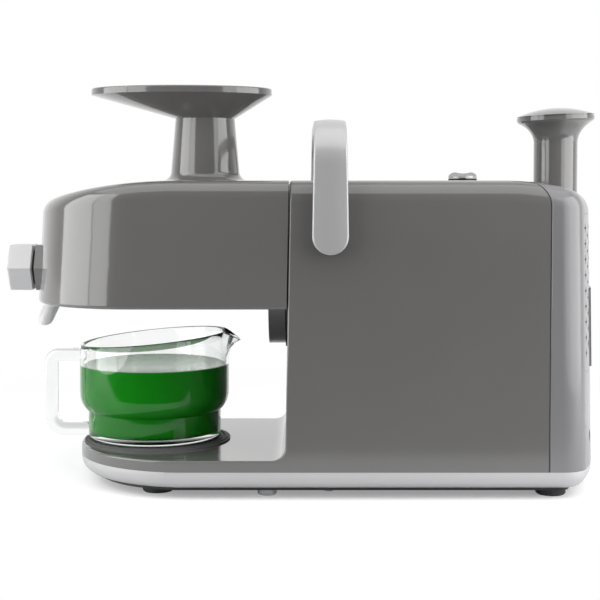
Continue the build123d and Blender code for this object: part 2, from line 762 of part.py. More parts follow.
def head_cover():
    """Glossy front cover with the feed chute, the outlet's hexagon and openings below."""
    cover = head_block(0, 0) - head_block(wall, overcut)
    foot = chute_foot_radius
    chute_face = make_face([
        Line((0, top_z - wall), (foot + chute_flare, top_z - wall)),
        Line((foot + chute_flare, top_z - wall), (foot + chute_flare, top_z)),
        RadiusArc((foot + chute_flare, top_z), (foot, top_z + chute_flare), chute_flare),
        Line((foot, top_z + chute_flare), (chute_top_radius, chute_top_z)),
        Line((chute_top_radius, chute_top_z), (0, chute_top_z)),
        Line((0, chute_top_z), (0, top_z - wall)),
    ])
    cover += Pos(chute_x, 0, 0) * revolve(Plane.XZ * chute_face, Axis.Z)
    ring_low = top_z - wall - 2 * wall
    ring_in = throat_radius + seat_gap
    cover += turned([(ring_in, ring_low), (ring_in + 0.8 * wall, ring_low),
                     (ring_in + 0.8 * wall, top_z - wall), (ring_in, top_z - wall)], chute_x, 0)
    cover -= turned([(0, ring_low - 1), (chute_bore_radius, ring_low - 1),
                     (chute_bore_radius, chute_top_z + 1), (0, chute_top_z + 1)], chute_x, 0)
    cover += hexagon_bar(outlet_hex_front_x, outlet_hex_front_x + outlet_hex_depth,
                         outlet_hex_flats, 0, axis_z)
    cover -= rod(outlet_hex_front_x - overcut, outlet_hex_front_x + 2 * outlet_hex_depth,
                 outlet_tube_radius + seat_gap, 0, axis_z)
    cover -= rod(collar_front_x - slip_gap, 0, collar_radius + slip_gap, 0, axis_z)
    cover -= rod(coupling_plate_front_x - slip_gap, 0, coupling_plate_radius + slip_gap, 0, axis_z)
    funnel_hole = RectangleRounded(funnel_length + 2 * seat_gap, funnel_width + 2 * seat_gap, 2 * wall)
    cover -= Pos(funnel_x, 0, 0) * upright_prism(funnel_hole, cover_bottom_z - 1, cover_bottom_z + 2 * wall)
    socket_low = pulp_spout_length - pulp_socket_depth
    cover -= spout_prism(pulp_spout_radius + slip_gap, 0, socket_low)
    pocket_radius = pulp_spout_radius + wall + seat_gap
    return cover - spout_prism(pocket_radius, socket_low - seat_gap, 2 * pulp_spout_length)


def gear_housing():
    """Body of the head: round collar, barrel round the coarse teeth and throat under the chute."""
    body = rod(collar_front_x, collar_back_x, collar_radius, 0, axis_z)
    body -= rod(collar_front_x + barrel_wall, collar_back_x + 1, collar_radius - 2 * wall, 0, axis_z)
    body += stadium_bar(collar_front_x, collar_back_x, press_hub_radius + wall)
    body += stadium_bar(barrel_front_x, collar_front_x + 1, chamber_radius + barrel_wall)
    throat_top = top_z - wall - seat_gap
    body += turned([(0, axis_z), (throat_radius, axis_z), (throat_radius, throat_top),
                    (0, throat_top)], chute_x, 0)
    body -= stadium_bar(barrel_front_x - 1, press_back_x, chamber_radius)
    body -= turned([(0, axis_z), (chute_bore_radius, axis_z), (chute_bore_radius, throat_top + 1),
                    (0, throat_top + 1)], chute_x, 0)
    for y in (output_y, idler_y):
        body -= rod(press_back_x - 1, collar_back_x + 1, press_hub_radius + slip_gap, y, axis_z)
    return body


press_back_x = collar_front_x - wall          # rear end of the gear chamber
gear_back_x = press_back_x - chamber_clearance
gear_front_x = screen_front_x + chamber_clearance


def juice_screen():
    """Strainer round the fine teeth, slotted across its underside."""
    ring = stadium_bar(screen_front_x, barrel_front_x - seat_gap, chamber_radius + screen_wall)
    ring -= stadium_bar(screen_front_x - 1, barrel_front_x + 1, chamber_radius)
    pitch = (barrel_front_x - screen_front_x - 2 * wall) / screen_slot_count
    for number in range(screen_slot_count):
        x = screen_front_x + wall + (number + 0.5) * pitch
        for side in (-1, 1):
            slot_y = side * (wall / 2 + shaft_spacing / 2 + chamber_radius / 2)
            ring -= (Pos(x, slot_y, axis_z - chamber_radius)
                     * Box(screen_slot_width, shaft_spacing + chamber_radius, chamber_radius))
    return ring


def pulp_casing():
    """Nose of the head: plate with both front bearings, cone and outlet tube."""
    back_x = screen_front_x - seat_gap
    plate_x = back_x - press_journal_length - 1
    cone_radius = chamber_radius + barrel_wall
    body = stadium_bar(plate_x, back_x, cone_radius)
    wide = Pos(plate_x, 0, axis_z) * (Plane.YZ * SlotCenterToCenter(shaft_spacing, 2 * cone_radius))
    narrow = Pos(outlet_tube_back_x, 0, axis_z) * (
        Plane.YZ * SlotCenterToCenter(wall, 2 * outlet_tube_radius + wall))
    body += loft([wide, narrow])
    tube_front_x = outlet_hex_front_x + seat_gap
    body += rod(tube_front_x, outlet_tube_back_x + wall, outlet_tube_radius, 0, axis_z)
    inside = Pos(plate_x, 0, axis_z) * (
        Plane.YZ * SlotCenterToCenter(shaft_spacing, 2 * (cone_radius - barrel_wall)))
    mouth = Pos(outlet_tube_back_x, 0, axis_z) * (
        Plane.YZ * SlotCenterToCenter(wall, 2 * plug_radius - wall))
    body -= loft([inside, mouth])
    body -= rod(tube_front_x - 1, outlet_tube_back_x + 0.5, plug_radius + slip_gap, 0, axis_z)
    kidneys = SlotCenterToCenter(shaft_spacing, 2 * (cone_radius - barrel_wall - wall))
    bush_seat = bush_radius + 0.8 * wall
    for y in (output_y, idler_y):
        kidneys -= Pos(y, 0) * Circle(bush_seat)
    kidneys -= Rectangle(2 * cone_radius + shaft_spacing, wall)
    body -= Pos(plate_x - 1, 0, axis_z) * extrude(Plane.YZ * kidneys, press_journal_length + overcut)
    for y in (output_y, idler_y):
        body -= rod(plate_x + 1, back_x + 1, bush_radius + fit_gap, y, axis_z)
    socket_low = pulp_spout_length - pulp_socket_depth
    lower_half = box_between((knob_front_x, -half_width, 0), (0, half_width, axis_z))
    body += spout_prism(pulp_spout_radius + wall, socket_low, pulp_spout_length + overcut) & lower_half
    body -= rod(tube_front_x - 1, outlet_tube_back_x + 0.5, plug_radius + slip_gap, 0, axis_z)
    body -= spout_prism(pulp_spout_radius + seat_gap / 2, 0, pulp_spout_length)
    bore = spout_prism(pulp_spout_radius - pulp_spout_wall, 0, pulp_spout_length + 2 * plug_radius)
    return body - (bore & lower_half)


bush_radius = press_journal_radius + 2.0


def gear_bushes():
    """Plain bearings for the front journals of the twin gears."""
    back_x = screen_front_x - seat_gap
    front_x = back_x - press_journal_length
    inner = press_journal_radius + fit_gap
    outline = [(front_x, inner), (back_x, inner), (back_x, bush_radius), (front_x, bush_radius)]
    return pair(lambda side: turned_along_x(outline, side * shaft_spacing / 2, axis_z))


def pulp_spout():
    """Clear spout with a round tongue that hangs from the nose and drops the pulp."""
    tube = spout_prism(pulp_spout_radius, 0, pulp_spout_length)
    tube -= spout_prism(pulp_spout_radius - pulp_spout_wall, -1, pulp_spout_length + 1)
    length = 2 * pulp_spout_length
    tongue = Pos(0, length / 2) * Rot(0, 0, 90) * SlotOverall(length, 2.02 * pulp_spout_radius)
    shape = extrude(Plane.XZ * tongue, half_width, both=True)
    return tube & (Pos(pulp_spout_tip_x, 0, pulp_spout_tip_z) * Rot(0, pulp_spout_tilt, 0) * shape)


def juice_funnel():
    """Trough in the cover's floor that gathers the juice over the jug."""
    floor_z = cover_bottom_z + wall
    top = floor_z + funnel_wall
    neck_z = funnel_low_z + funnel_neck
    flange = Pos(funnel_x, 0, 0) * upright_prism(
        RectangleRounded(funnel_length + 2 * wall, funnel_width + 2 * wall, 3 * wall), floor_z, top)
    def hopper(inset, low, high):
        wide = RectangleRounded(funnel_length - 2 * inset, funnel_width - 2 * inset, 2 * wall - inset)
        radius = funnel_nozzle_radius - inset
        slope = loft([Pos(funnel_x, 0, floor_z) * wide, Pos(funnel_x, 0, neck_z) * Circle(radius)])
        neck = turned([(0, low), (radius, low), (radius, neck_z), (0, neck_z)], funnel_x, 0)
        return slope + neck + Pos(funnel_x, 0, 0) * upright_prism(wide, floor_z, high)
    return flange + hopper(0, funnel_low_z, top) - hopper(funnel_wall, funnel_low_z - 1, top + 1)


def press_section(step):
    """Section of a pressing gear; step 2 leaves out every other tooth."""
    pitch_radius = shaft_spacing / 2
    base_radius = pitch_radius * cos(radians(20))
    half_tooth = pi / (2 * press_teeth) + tan(radians(20)) - radians(20)
    slim = press_flank_gap / pitch_radius
    def half_angle(radius):
        roll = sqrt(max(radius ** 2 / base_radius ** 2 - 1, 0))
        return half_tooth - (roll - atan2(roll, 1)) - slim
    radii = (press_root_radius, base_radius, (base_radius + press_tip_radius) / 2, press_tip_radius)
    points = []
    for tooth in range(0, press_teeth, step):
        middle = 2 * pi * tooth / press_teeth
        rising = [(r, -half_angle(r)) for r in radii]
        falling = [(r, half_angle(r)) for r in reversed(radii)]
        for radius, offset in rising + falling:
            points.append((radius * cos(middle + offset), radius * sin(middle + offset)))
        valley = 2 * pi * step / press_teeth - 2 * half_angle(press_root_radius)
        for part in range(1, 2 * step - 1):
            angle = middle + half_angle(press_root_radius) + valley * part / (2 * step - 1)
            points.append((press_root_radius * cos(angle), press_root_radius * sin(angle)))
    return make_face(Polyline(*points, close=True))


def press_gear(y, hand, phase):
    """Pressing gear: coarse helical teeth behind, fine ones in front, hub and journal."""
    body = None
    for step, x_from, x_to in ((2, press_split_x, gear_back_x), (1, gear_front_x, press_split_x)):
        turn = hand * press_twist_per_mm * (x_from - press_split_x) + phase
        section = Pos(x_from, y, axis_z) * (Plane.YZ * Rot(0, 0, turn) * press_section(step))
        length = x_to - x_from
        worm = Solid.extrude_linear_with_rotation(section.face(), (x_from, y, axis_z), (length, 0, 0),
                                                  hand * press_twist_per_mm * length)
        body = worm if body is None else body + worm
    hub_back_x = coupling_plate_front_x - 2 * slip_gap
    body += rod(gear_back_x - 1, hub_back_x, press_hub_radius, y, axis_z)
    body += rod(gear_front_x - press_journal_length, gear_front_x + 1, press_journal_radius, y, axis_z)
    socket_front_x = coupling_plate_front_x - hex_reach - 2 * slip_gap
    return body - hexagon_bar(socket_front_x, hub_back_x + 1, hex_across_flats + 2 * slip_gap, y, axis_z)


def output_press_gear():
    return press_gear(output_y, 1, 0)


def idler_press_gear():
    return press_gear(idler_y, -1, 180 / press_teeth)


def pulp_plug():
    """Sliding plug with a cone that throttles the pulp, and the stud that carries its knob."""
    stud_front_x = knob_front_x + knob_wall
    return turned_along_x([
        (stud_front_x, 0), (plug_inner_x + plug_cone_length, 0),
        (plug_inner_x + plug_cone_length, plug_radius / 2), (plug_inner_x, plug_radius),
        (knob_back_x + seat_gap, plug_radius), (knob_back_x + seat_gap, plug_stud_radius),
        (stud_front_x, plug_stud_radius)], 0, axis_z)


def pulp_knob():
    """Hexagonal knob that screws the plug in and out."""
    knob = hexagon_bar(knob_front_x, knob_back_x, knob_flats, 0, axis_z)
    ends = knob.faces().filter_by(Axis.X)
    knob = chamfer(ends.edges(), knob_edge_chamfer)
    return knob - rod(knob_front_x + knob_wall, knob_back_x + 1, plug_stud_radius + fit_gap, 0, axis_z)


def head_seal():
    """Rubber ring in the collar's rear pocket, facing the coupling plate."""
    outer = collar_radius - 2 * wall - seat_gap
    back = collar_back_x
    return turned_along_x([
        (back - 4, outer - 5), (back - 1.4, outer - 5), (back - 0.6, outer - 3.6), (back, outer - 2.4),
        (back, outer), (back - 4, outer)], 0, axis_z)


# ================================================================ tray, plunger, handle, dial
def tray_form(inset, low_z, low_radius, top):
    """Dish form: an upright elliptical band above straight walls that run in to the chute."""
    band_z = tray_top_z - tray_rim_height
    oval = Ellipse(tray_length / 2 - inset, tray_width / 2 - inset)
    band = Pos(tray_centre_x, 0, band_z) * extrude(oval, top - band_z)
    funnel = loft([Pos(tray_centre_x, 0, band_z) * oval, Pos(chute_x, 0, low_z) * Circle(low_radius)])
    return band + funnel


def feed_tray():
    """Oval dish that plugs into the top of the feed chute."""
    outer = tray_form(0, chute_top_z, chute_top_radius, tray_top_z)
    rim = outer.edges().group_by(Axis.Z)[-1]
    outer = fillet(rim, 1.2)
    spigot = chute_bore_radius - slip_gap
    bore = spigot - 1.8
    low = chute_top_z - tray_spigot_depth
    tray = outer + turned([(0, low), (spigot - 0.8, low), (spigot, low + 0.8), (spigot, chute_top_z + 1),
                           (0, chute_top_z + 1)], chute_x, 0)
    tray -= tray_form(tray_wall, chute_top_z + tray_wall, bore, tray_top_z + 1)
    return tray - turned([(0, low - 1), (bore, low - 1), (bore, chute_top_z + tray_wall + 1),
                          (0, chute_top_z + tray_wall + 1)], chute_x, 0)


def plunger():
    """Stem with a concave flare and a domed head, kept in the socket of the rear cover."""
    edge = 1.5
    stem = turned([(0, plunger_bottom_z), (plunger_radius - edge, plunger_bottom_z),
                   (plunger_radius, plunger_bottom_z + edge), (plunger_radius, plunger_neck_z),
                   (0, plunger_neck_z)], plunger_x, 0)
    lip = plunger_head_radius - edge
    rise = plunger_rim_z - plunger_neck_z
    def ring(share, radius):
        place = Pos(plunger_x, 0, plunger_neck_z + share * rise)
        return place * Rot(0, -share * plunger_head_tilt, 0) * Circle(radius)
    flare = loft([ring(0, plunger_radius), ring(0.35, plunger_radius + 1.2),
                  ring(0.7, plunger_radius + 5.2), ring(1, lip)])
    rim_top = plunger_rim_height
    dome_top = plunger_top_z - plunger_rim_z
    inner = plunger_head_radius - 0.7
    bulge = dome_top - rim_top
    dome_radius = (plunger_head_radius ** 2 + bulge ** 2) / (2 * bulge)
    half = plunger_head_radius / 2
    half_z = dome_top - dome_radius + sqrt(dome_radius ** 2 - half ** 2)
    head = make_face([
        Polyline((0, 0), (lip, 0), (plunger_head_radius, edge), (plunger_head_radius, rim_top - 1.3),
                 (inner, rim_top - 1.3), (inner, rim_top - 0.6), (plunger_head_radius, rim_top - 0.6),
                 (plunger_head_radius, rim_top)),
        ThreePointArc((plunger_head_radius, rim_top), (half, half_z), (0, dome_top)),
        Line((0, dome_top), (0, 0)),
    ])
    head = revolve(Plane.XZ * head, Axis.Z)
    return stem + flare + Pos(plunger_x, 0, plunger_rim_z) * Rot(0, -plunger_head_tilt, 0) * head


def handle():
    """Bail that swings over the tower: crowned flat bar with blind pivot holes in its round ends."""
    half = handle_thickness / 2
    mid_y = handle_outer_y - half
    low_z = handle_pivot_z - handle_foot_radius
    high_z = handle_top_z - half
    path = Plane.YZ * FilletPolyline((-mid_y, low_z), (-mid_y, high_z), (mid_y, high_z), (mid_y, low_z),
                                     radius=handle_corner_radius - half)
    reach = handle_foot_radius
    flank = half - handle_crown
    section = make_face([
        Line((-reach, half), (reach, half)),
        Line((reach, half), (reach, -flank)),
        ThreePointArc((reach, -flank), (0, -half), (-reach, -flank)),
        Line((-reach, -flank), (-reach, half)),
    ])
    bar = sweep(Pos(0, -mid_y, low_z) * section, path)
    narrow = handle_width / 2
    tapered = make_face(Polyline((-reach, handle_pivot_z), (reach, handle_pivot_z),
                                 (narrow, handle_top_z), (-narrow, handle_top_z), close=True))
    side_view = Pos(0, handle_pivot_z) * Circle(reach) + tapered
    bar = bar & side_slab(side_view, 2 * half_width)
    long_edges = [e for e in bar.edges() if abs(e.center().X) > narrow / 2]
    bar = Pos(handle_x, 0, 0) * fillet(long_edges, handle_edge_round)
    hole_y = handle_outer_y - handle_blind_wall
    hole = Cylinder(handle_pivot_radius + fit_gap, 2 * hole_y, rotation=(90, 0, 0))
    return bar - Pos(handle_x, 0, handle_pivot_z) * hole


def handle_pivots():
    """Pins through the tower's side walls, headed inside, that the bail turns on."""
    head_y = half_width - wall
    tip_y = handle_outer_y - handle_blind_wall - slip_gap
    def pin(side):
        body = Cylinder(handle_pivot_radius, tip_y - head_y, align=(Align.CENTER, Align.CENTER, Align.MIN))
        head = Cylinder(handle_pivot_radius + wall, wall, align=(Align.CENTER, Align.CENTER, Align.MAX))
        return Pos(handle_x, side * head_y, handle_pivot_z) * Rot(-90 * side, 0, 0) * (body + head)
    return pair(pin)


def dial_seat():
    """Dark ring on the roof under the dial."""
    high = top_z + dial_seat_thickness
    return turned([(dial_stem_radius + slip_gap, top_z), (dial_radius, top_z), (dial_radius, high),
                   (dial_stem_radius + slip_gap, high)], dial_x, 0)


def control_knob():
    """Dial with a finger bar whose top is dished, and the stem that turns the switch."""
    low = top_z + dial_seat_thickness + slip_gap
    stem_low = top_z - wall - switch_depth / 2
    body = turned([(0, low), (dial_radius, low), (dial_radius, dial_face_z),
                   (dial_radius - dial_edge, dial_top_z - dial_edge), (dial_radius - 3 * dial_edge, dial_top_z),
                   (0, dial_top_z)], dial_x, 0)
    for side in (-1, 1):
        bar_y = side * dial_bar_width / 2
        outer_y = side * 2 * dial_radius
        body -= box_between((dial_x - 2 * dial_radius, min(bar_y, outer_y), dial_face_z),
                            (dial_x + 2 * dial_radius, max(bar_y, outer_y), dial_top_z + overcut))
    dip_radius = dial_radius ** 2 / (8 * dial_dip)
    dip = Cylinder(dip_radius, 4 * dial_radius, rotation=(90, 0, 0))
    body -= Pos(dial_x, 0, dial_top_z - dial_dip + dip_radius) * dip
    stem = turned([(0, stem_low), (dial_stem_radius, stem_low), (dial_stem_radius, low + 1), (0, low + 1)],
                  dial_x, 0)
    return body + stem


def switch_body():
    """Rotary switch under the roof, with its bore for the dial's stem and three blade terminals."""
    high = top_z - wall
    low = high - switch_depth
    half = switch_size / 2
    body = box_between((dial_x - half, -half, low), (dial_x + half, half, high))
    body = chamfer(body.edges().filter_by(Axis.Z), 2)
    for step in (-1, 0, 1):
        x = dial_x + step * (terminal_width + 1)
        body += box_between((x - terminal_thickness / 2, -terminal_width / 2, low - terminal_height),
                            (x + terminal_thickness / 2, terminal_width / 2, low + 1))
    bore = dial_stem_radius + fit_gap
    return body - turned([(0, high - switch_depth / 2 - slip_gap), (bore, high - switch_depth / 2 - slip_gap),
                          (bore, high + 1), (0, high + 1)], dial_x, 0)


# ================================================================ jug
def jug_form(inset, low, high):
    """Outside or inside of the jug's bowl: a foot, a slanted step and an upright wall."""
    foot = jug_foot_radius - inset
    side = jug_radius - inset
    lift = 0.25 * inset
    outline = make_face(Polyline((0, low), (foot, low), (foot, jug_step_low_z + lift),
                                 (side, jug_step_high_z + lift), (side, high), (0, high), close=True))
    corners = [v for v in outline.vertices() if v.X > 1 and v.Y < high - 1]
    outline = fillet(corners, 3.5 - inset / 2)
    return Pos(jug_x, 0, 0) * revolve(Plane.XZ * outline, Axis.Z)


def beak(inset, root_x):
    """Pouring lip: a rounded channel that narrows from the wall to its tip."""
    def channel(x, half, low, high):
        return Pos(x, 0, 0) * (Plane.YZ * make_face([
            Line((-half, high), (-half, (low + high) / 2)),
            ThreePointArc((-half, (low + high) / 2), (0, low), (half, (low + high) / 2)),
            Line((half, (low + high) / 2), (half, high)),
            Line((half, high), (-half, high)),
        ]))
    high = jug_rim_rear_z + wall
    share = (jug_spout_tip_x - root_x) / (jug_spout_tip_x - jug_x - jug_radius)
    low = jug_spout_tip_z - share * (jug_spout_tip_z - jug_spout_low_z)
    half = jug_spout_half_width * share
    return loft([channel(root_x, half - inset, low + inset, high),
                 channel(jug_spout_tip_x - inset, 3.6 - inset, jug_spout_tip_z - 1.6 + inset, high)],
                ruled=True)


def pitcher():
    """Clear jug with a stepped foot, a slanted rim, a pouring lip and a looped grip."""
    floor = deck_z + pad_thickness
    high = jug_rim_rear_z + wall
    inside = jug_form(jug_wall, floor + jug_floor, high + 1)
    rim_x = jug_x + jug_radius
    jug = jug_form(0, floor, high) + beak(0, rim_x - wall)
    half = jug_handle_thickness / 2
    bar_x = jug_handle_outer_x + half
    high_z = jug_handle_top_z - half
    low_z = jug_handle_low_z + half
    path = Plane.XZ * FilletPolyline(
        (jug_x - jug_radius + wall / 2, high_z), (bar_x, high_z), (bar_x, low_z),
        (jug_x - jug_foot_radius + wall / 2, low_z), radius=(jug_handle_top_round, jug_handle_low_round))
    section = Plane.YZ * RectangleRounded(jug_handle_width, jug_handle_thickness, 3.6)
    grip = sweep(Pos(jug_x - jug_radius + wall / 2, 0, high_z) * section, path)
    jug = jug + (grip - jug_form(0.5, floor - 1, high))
    jug = jug - inside - beak(1.8, rim_x - 3 * wall)
    rim_view = make_face(Polyline(
        (jug_x - 2 * jug_radius, jug_rim_front_z - (jug_rim_rear_z - jug_rim_front_z) / 2),
        (rim_x, jug_rim_rear_z), (jug_spout_tip_x, jug_spout_tip_z), (jug_spout_tip_x + wall, jug_spout_tip_z),
        (jug_spout_tip_x + wall, top_z), (jug_x - 2 * jug_radius, top_z), close=True))
    return jug - side_slab(rim_view, 2 * half_width)


# ================================================================ gearbox
gearbox_front_x = boss_back_x
gearbox_back_x = gearbox_front_x + gearbox_depth
cover_back_x = gearbox_back_x + gearbox_wall
output_gear_x = spindle_gear_x + spindle_gear_width + gear_side_gap
counter_gear_x = output_gear_x + output_gear_width + gear_side_gap
counter_z = axis_z - output_module * (output_teeth + counter_pinion_teeth) / 2
motor_reach = counter_module * (counter_teeth + motor_pinion_teeth) / 2
motor_z = counter_z - sqrt(motor_reach ** 2 - output_y ** 2)
motor_direction = degrees(atan2(motor_z - counter_z, -output_y))


def gearbox_outline(extra):
    """Tight outline round all four gear stages, in the plane of the gears."""
    rounds = (
        (output_y, axis_z, output_module * (output_teeth / 2 + 0.85)),
        (idler_y, axis_z, spindle_module * (spindle_teeth / 2 + 0.85)),
        (output_y, counter_z, counter_module * (counter_teeth / 2 + 0.85)),
        (0, motor_z, counter_module * (motor_pinion_teeth / 2 + 0.85)),
    )
    edges = [Pos(y, z) * CenterArc((0, 0), radius + extra, 0, 360) for y, z, radius in rounds]
    return make_hull(edges)


bearing_places = (
    (gearbox_front_x, output_y, axis_z, spindle_radius),
    (gearbox_front_x, idler_y, axis_z, spindle_radius),
    (gearbox_front_x, output_y, counter_z, counter_shaft_radius),
    (cover_back_x - bearing_width, output_y, axis_z, spindle_radius),
    (cover_back_x - bearing_width, output_y, counter_z, counter_shaft_radius),
    (cover_back_x - bearing_width, 0, motor_z, motor_shaft_radius),
)


def bearing_seats(places):
    """Bosses round a set of bearings."""
    return [rod(x, x + bearing_width, radius + 2 * bearing_wall, y, z) for x, y, z, radius in places]


def bearing_holes(places):
    """Cuts that leave each bearing a close fit."""
    return [rod(x - 1, x + bearing_width + 1, radius + bearing_wall + fit_gap, y, z)
            for x, y, z, radius in places]


def shaft_bearings():
    """Plain bearings of the three gearbox shafts and the motor shaft."""
    places = bearing_places + ((end_bell_x + end_bell_length - bearing_width, 0, motor_z, motor_shaft_radius),)
    rings = []
    for x, y, z, radius in places:
        inner = radius + fit_gap
        outer = radius + bearing_wall
        rings.append(turned_along_x([(x, inner), (x + bearing_width, inner), (x + bearing_width, outer),
                                     (x, outer)], y, z))
    return Compound(children=rings)


def gearbox_case():
    """Open box round the gears, its front wall flat against the tower's boss."""
    outer = Pos(gearbox_front_x, 0, 0) * extrude(
        Plane.YZ * gearbox_outline(gearbox_clearance + gearbox_wall), gearbox_depth)
    inner = Pos(gearbox_front_x + gearbox_wall, 0, 0) * extrude(
        Plane.YZ * gearbox_outline(gearbox_clearance), gearbox_depth)
    front = bearing_places[:3]
    case = outer - inner
    case += bearing_seats(front)
    return case - bearing_holes(front)


def gearbox_cover():
    """Lid of the gearbox, with the rear bearings and the motor's mounting face."""
    lid = Pos(gearbox_back_x, 0, 0) * extrude(
        Plane.YZ * gearbox_outline(gearbox_clearance + gearbox_wall), gearbox_wall)
    back = bearing_places[3:]
    lid += bearing_seats(back)
    return lid - bearing_holes(back)


def drive_shaft():
    """Driven spindle: hexagon, shaft, spindle gear and large output gear."""
    shaft = hexagon_bar(coupling_plate_front_x - hex_reach, coupling_plate_front_x, hex_across_flats,
                        output_y, axis_z)
    shaft += rod(coupling_plate_front_x - slip_gap, cover_back_x - 0.5, spindle_radius, output_y, axis_z)
    shaft += spur_gear(spindle_teeth, spindle_module, 0, spindle_gear_x, spindle_gear_width,
                       spindle_radius / 2, output_y, axis_z)
    return shaft + spur_gear(output_teeth, output_module, 0, output_gear_x, output_gear_width,
                             spindle_radius / 2, output_y, axis_z)


def idler_shaft():
    """Second spindle: hexagon, short shaft and spindle gear."""
    back_x = spindle_gear_x + spindle_gear_width
    shaft = hexagon_bar(coupling_plate_front_x - hex_reach, coupling_plate_front_x, hex_across_flats,
                        idler_y, axis_z)
    shaft += rod(coupling_plate_front_x - slip_gap, back_x, spindle_radius, idler_y, axis_z)
    phase = mesh_phase(spindle_teeth, 0, spindle_teeth, 0)
    return shaft + spur_gear(spindle_teeth, spindle_module, phase, spindle_gear_x, spindle_gear_width,
                             spindle_radius / 2, idler_y, axis_z)


def counter_shaft():
    """Middle shaft: small pinion under the output gear, large gear above the motor's pinion."""
    phase = mesh_phase(output_teeth, 0, counter_pinion_teeth, -90)
    shaft = rod(gearbox_front_x + 0.5, cover_back_x - 0.5, counter_shaft_radius, output_y, counter_z)
    shaft += spur_gear(counter_pinion_teeth, output_module, phase, output_gear_x, output_gear_width,
                       counter_shaft_radius / 2, output_y, counter_z)
    return shaft + spur_gear(counter_teeth, counter_module, 0, counter_gear_x, counter_gear_width,
                             counter_shaft_radius / 2, output_y, counter_z)


# ================================================================ motor and electrics
end_bell_x = cover_back_x + motor_length
stator_x = cover_back_x + (motor_length - stator_length) / 2
motor_inner_radius = motor_radius - motor_can_wall


def motor_can():
    """Drawn can of the motor, its front wall bolted flat to the gearbox lid."""
    can = rod(cover_back_x, end_bell_x, motor_radius, 0, motor_z)
    can -= rod(cover_back_x + motor_can_wall, end_bell_x + 1, motor_inner_radius, 0, motor_z)
    return can - rod(cover_back_x - 1, end_bell_x, motor_shaft_radius + 4 * slip_gap, 0, motor_z)


def motor_stator():
    """Field ring inside the can, slotted for its windings."""
    inner = armature_radius + air_gap
    ring = rod(stator_x, stator_x + stator_length, motor_inner_radius - seat_gap, 0, motor_z)
    ring -= rod(stator_x - 1, stator_x + stator_length + 1, inner, 0, motor_z)
    slot = Pos(stator_x + stator_length / 2, inner, 0) * Box(stator_length + 2, 0.8 * inner, 7)
    return ring - [Pos(0, 0, motor_z) * Rot(turn, 0, 0) * slot for turn in range(15, 360, 30)]


def motor_end_bell():
    """Spoked end plate of the motor round its rear bearing."""
    bell = rod(end_bell_x, end_bell_x + end_bell_length / 3, motor_radius, 0, motor_z)
    window = Pos(end_bell_x, 0, 0) * extrude(
        Plane.YZ * (Circle(motor_inner_radius - 4) - Circle(motor_shaft_radius + 4 * bearing_wall)
                    - Rectangle(2 * motor_radius, 9) - Rectangle(9, 2 * motor_radius)), end_bell_length)
    bell -= Pos(0, 0, motor_z) * window
    place = ((end_bell_x + end_bell_length - bearing_width, 0, motor_z, motor_shaft_radius),)
    bell += rod(end_bell_x, end_bell_x + end_bell_length, motor_shaft_radius + 2 * bearing_wall, 0, motor_z)
    bell -= bearing_holes(place)
    return bell - rod(end_bell_x - 1, end_bell_x + end_bell_length, motor_shaft_radius + slip_gap, 0, motor_z)


def motor_rotor():
    """Motor shaft with its pinion, slotted armature and commutator."""
    phase = mesh_phase(counter_teeth, 0, motor_pinion_teeth, motor_direction)
    fan_back_x = end_bell_x + 2 * end_bell_length + 2
    rotor = rod(counter_gear_x - 1, fan_back_x, motor_shaft_radius, 0, motor_z)
    rotor += spur_gear(motor_pinion_teeth, counter_module, phase, counter_gear_x, counter_gear_width,
                       motor_shaft_radius / 2, 0, motor_z)
    core = Circle(armature_radius) - [Rot(0, 0, turn) * Pos(armature_radius, 0) * Rectangle(14, 2.4)
                                      for turn in range(0, 360, 30)]
    rotor += Pos(stator_x, 0, motor_z) * extrude(Plane.YZ * core, stator_length)
    return rotor + rod(stator_x + stator_length - 1, stator_x + stator_length + 10,
                       2.5 * motor_shaft_radius, 0, motor_z)


def cooling_fan():
    """Fan behind the motor: disc, hub and straight blades."""
    front_x = end_bell_x + end_bell_length + 2
    length = end_bell_length - 2
    fan = rod(front_x, front_x + 2, fan_radius, 0, motor_z)
    fan += rod(front_x, front_x + length, 2 * motor_shaft_radius, 0, motor_z)
    inner = 1.5 * motor_shaft_radius
    blade = box_between((front_x, inner, -0.9), (front_x + length, fan_radius - 0.5, 0.9))
    for number in range(fan_blades):
        fan += Pos(0, 0, motor_z) * Rot(360 * number / fan_blades, 0, 0) * blade
    return fan - rod(front_x - 1, front_x + length + 1, motor_shaft_radius + fit_gap, 0, motor_z)


def motor_cradle():
    """Two ribs on the bottom plate that carry the motor can, tied by a floor strip."""
    low = trim_bottom_z
    half = 0.8 * motor_radius
    high = motor_z - 0.5 * motor_radius
    first_x = cover_back_x + cradle_inset
    last_x = end_bell_x - cradle_inset - cradle_rib
    ribs = box_between((first_x, -half, low), (first_x + cradle_rib, half, high))
    ribs += box_between((last_x, -half, low), (last_x + cradle_rib, half, high))
    ribs += box_between((first_x, -half / 2, low), (last_x + cradle_rib, half / 2, low + wall))
    return ribs - rod(first_x - 1, last_x + cradle_rib + 1, motor_radius + seat_gap, 0, motor_z)


def capacitor():
    """Upright capacitor on the bottom plate."""
    low = trim_bottom_z
    high = low + capacitor_height
    edge = 1.5
    body = turned([(0, low), (capacitor_radius, low), (capacitor_radius, high - edge),
                   (capacitor_radius - edge, high), (0, high)], capacitor_x, capacitor_y)
    for side in (-1, 1):
        x = capacitor_x + side * terminal_width
        body += box_between((x - terminal_thickness / 2, capacitor_y - terminal_width / 2, high - 1),
                            (x + terminal_thickness / 2, capacitor_y + terminal_width / 2, high + terminal_height))
    return body


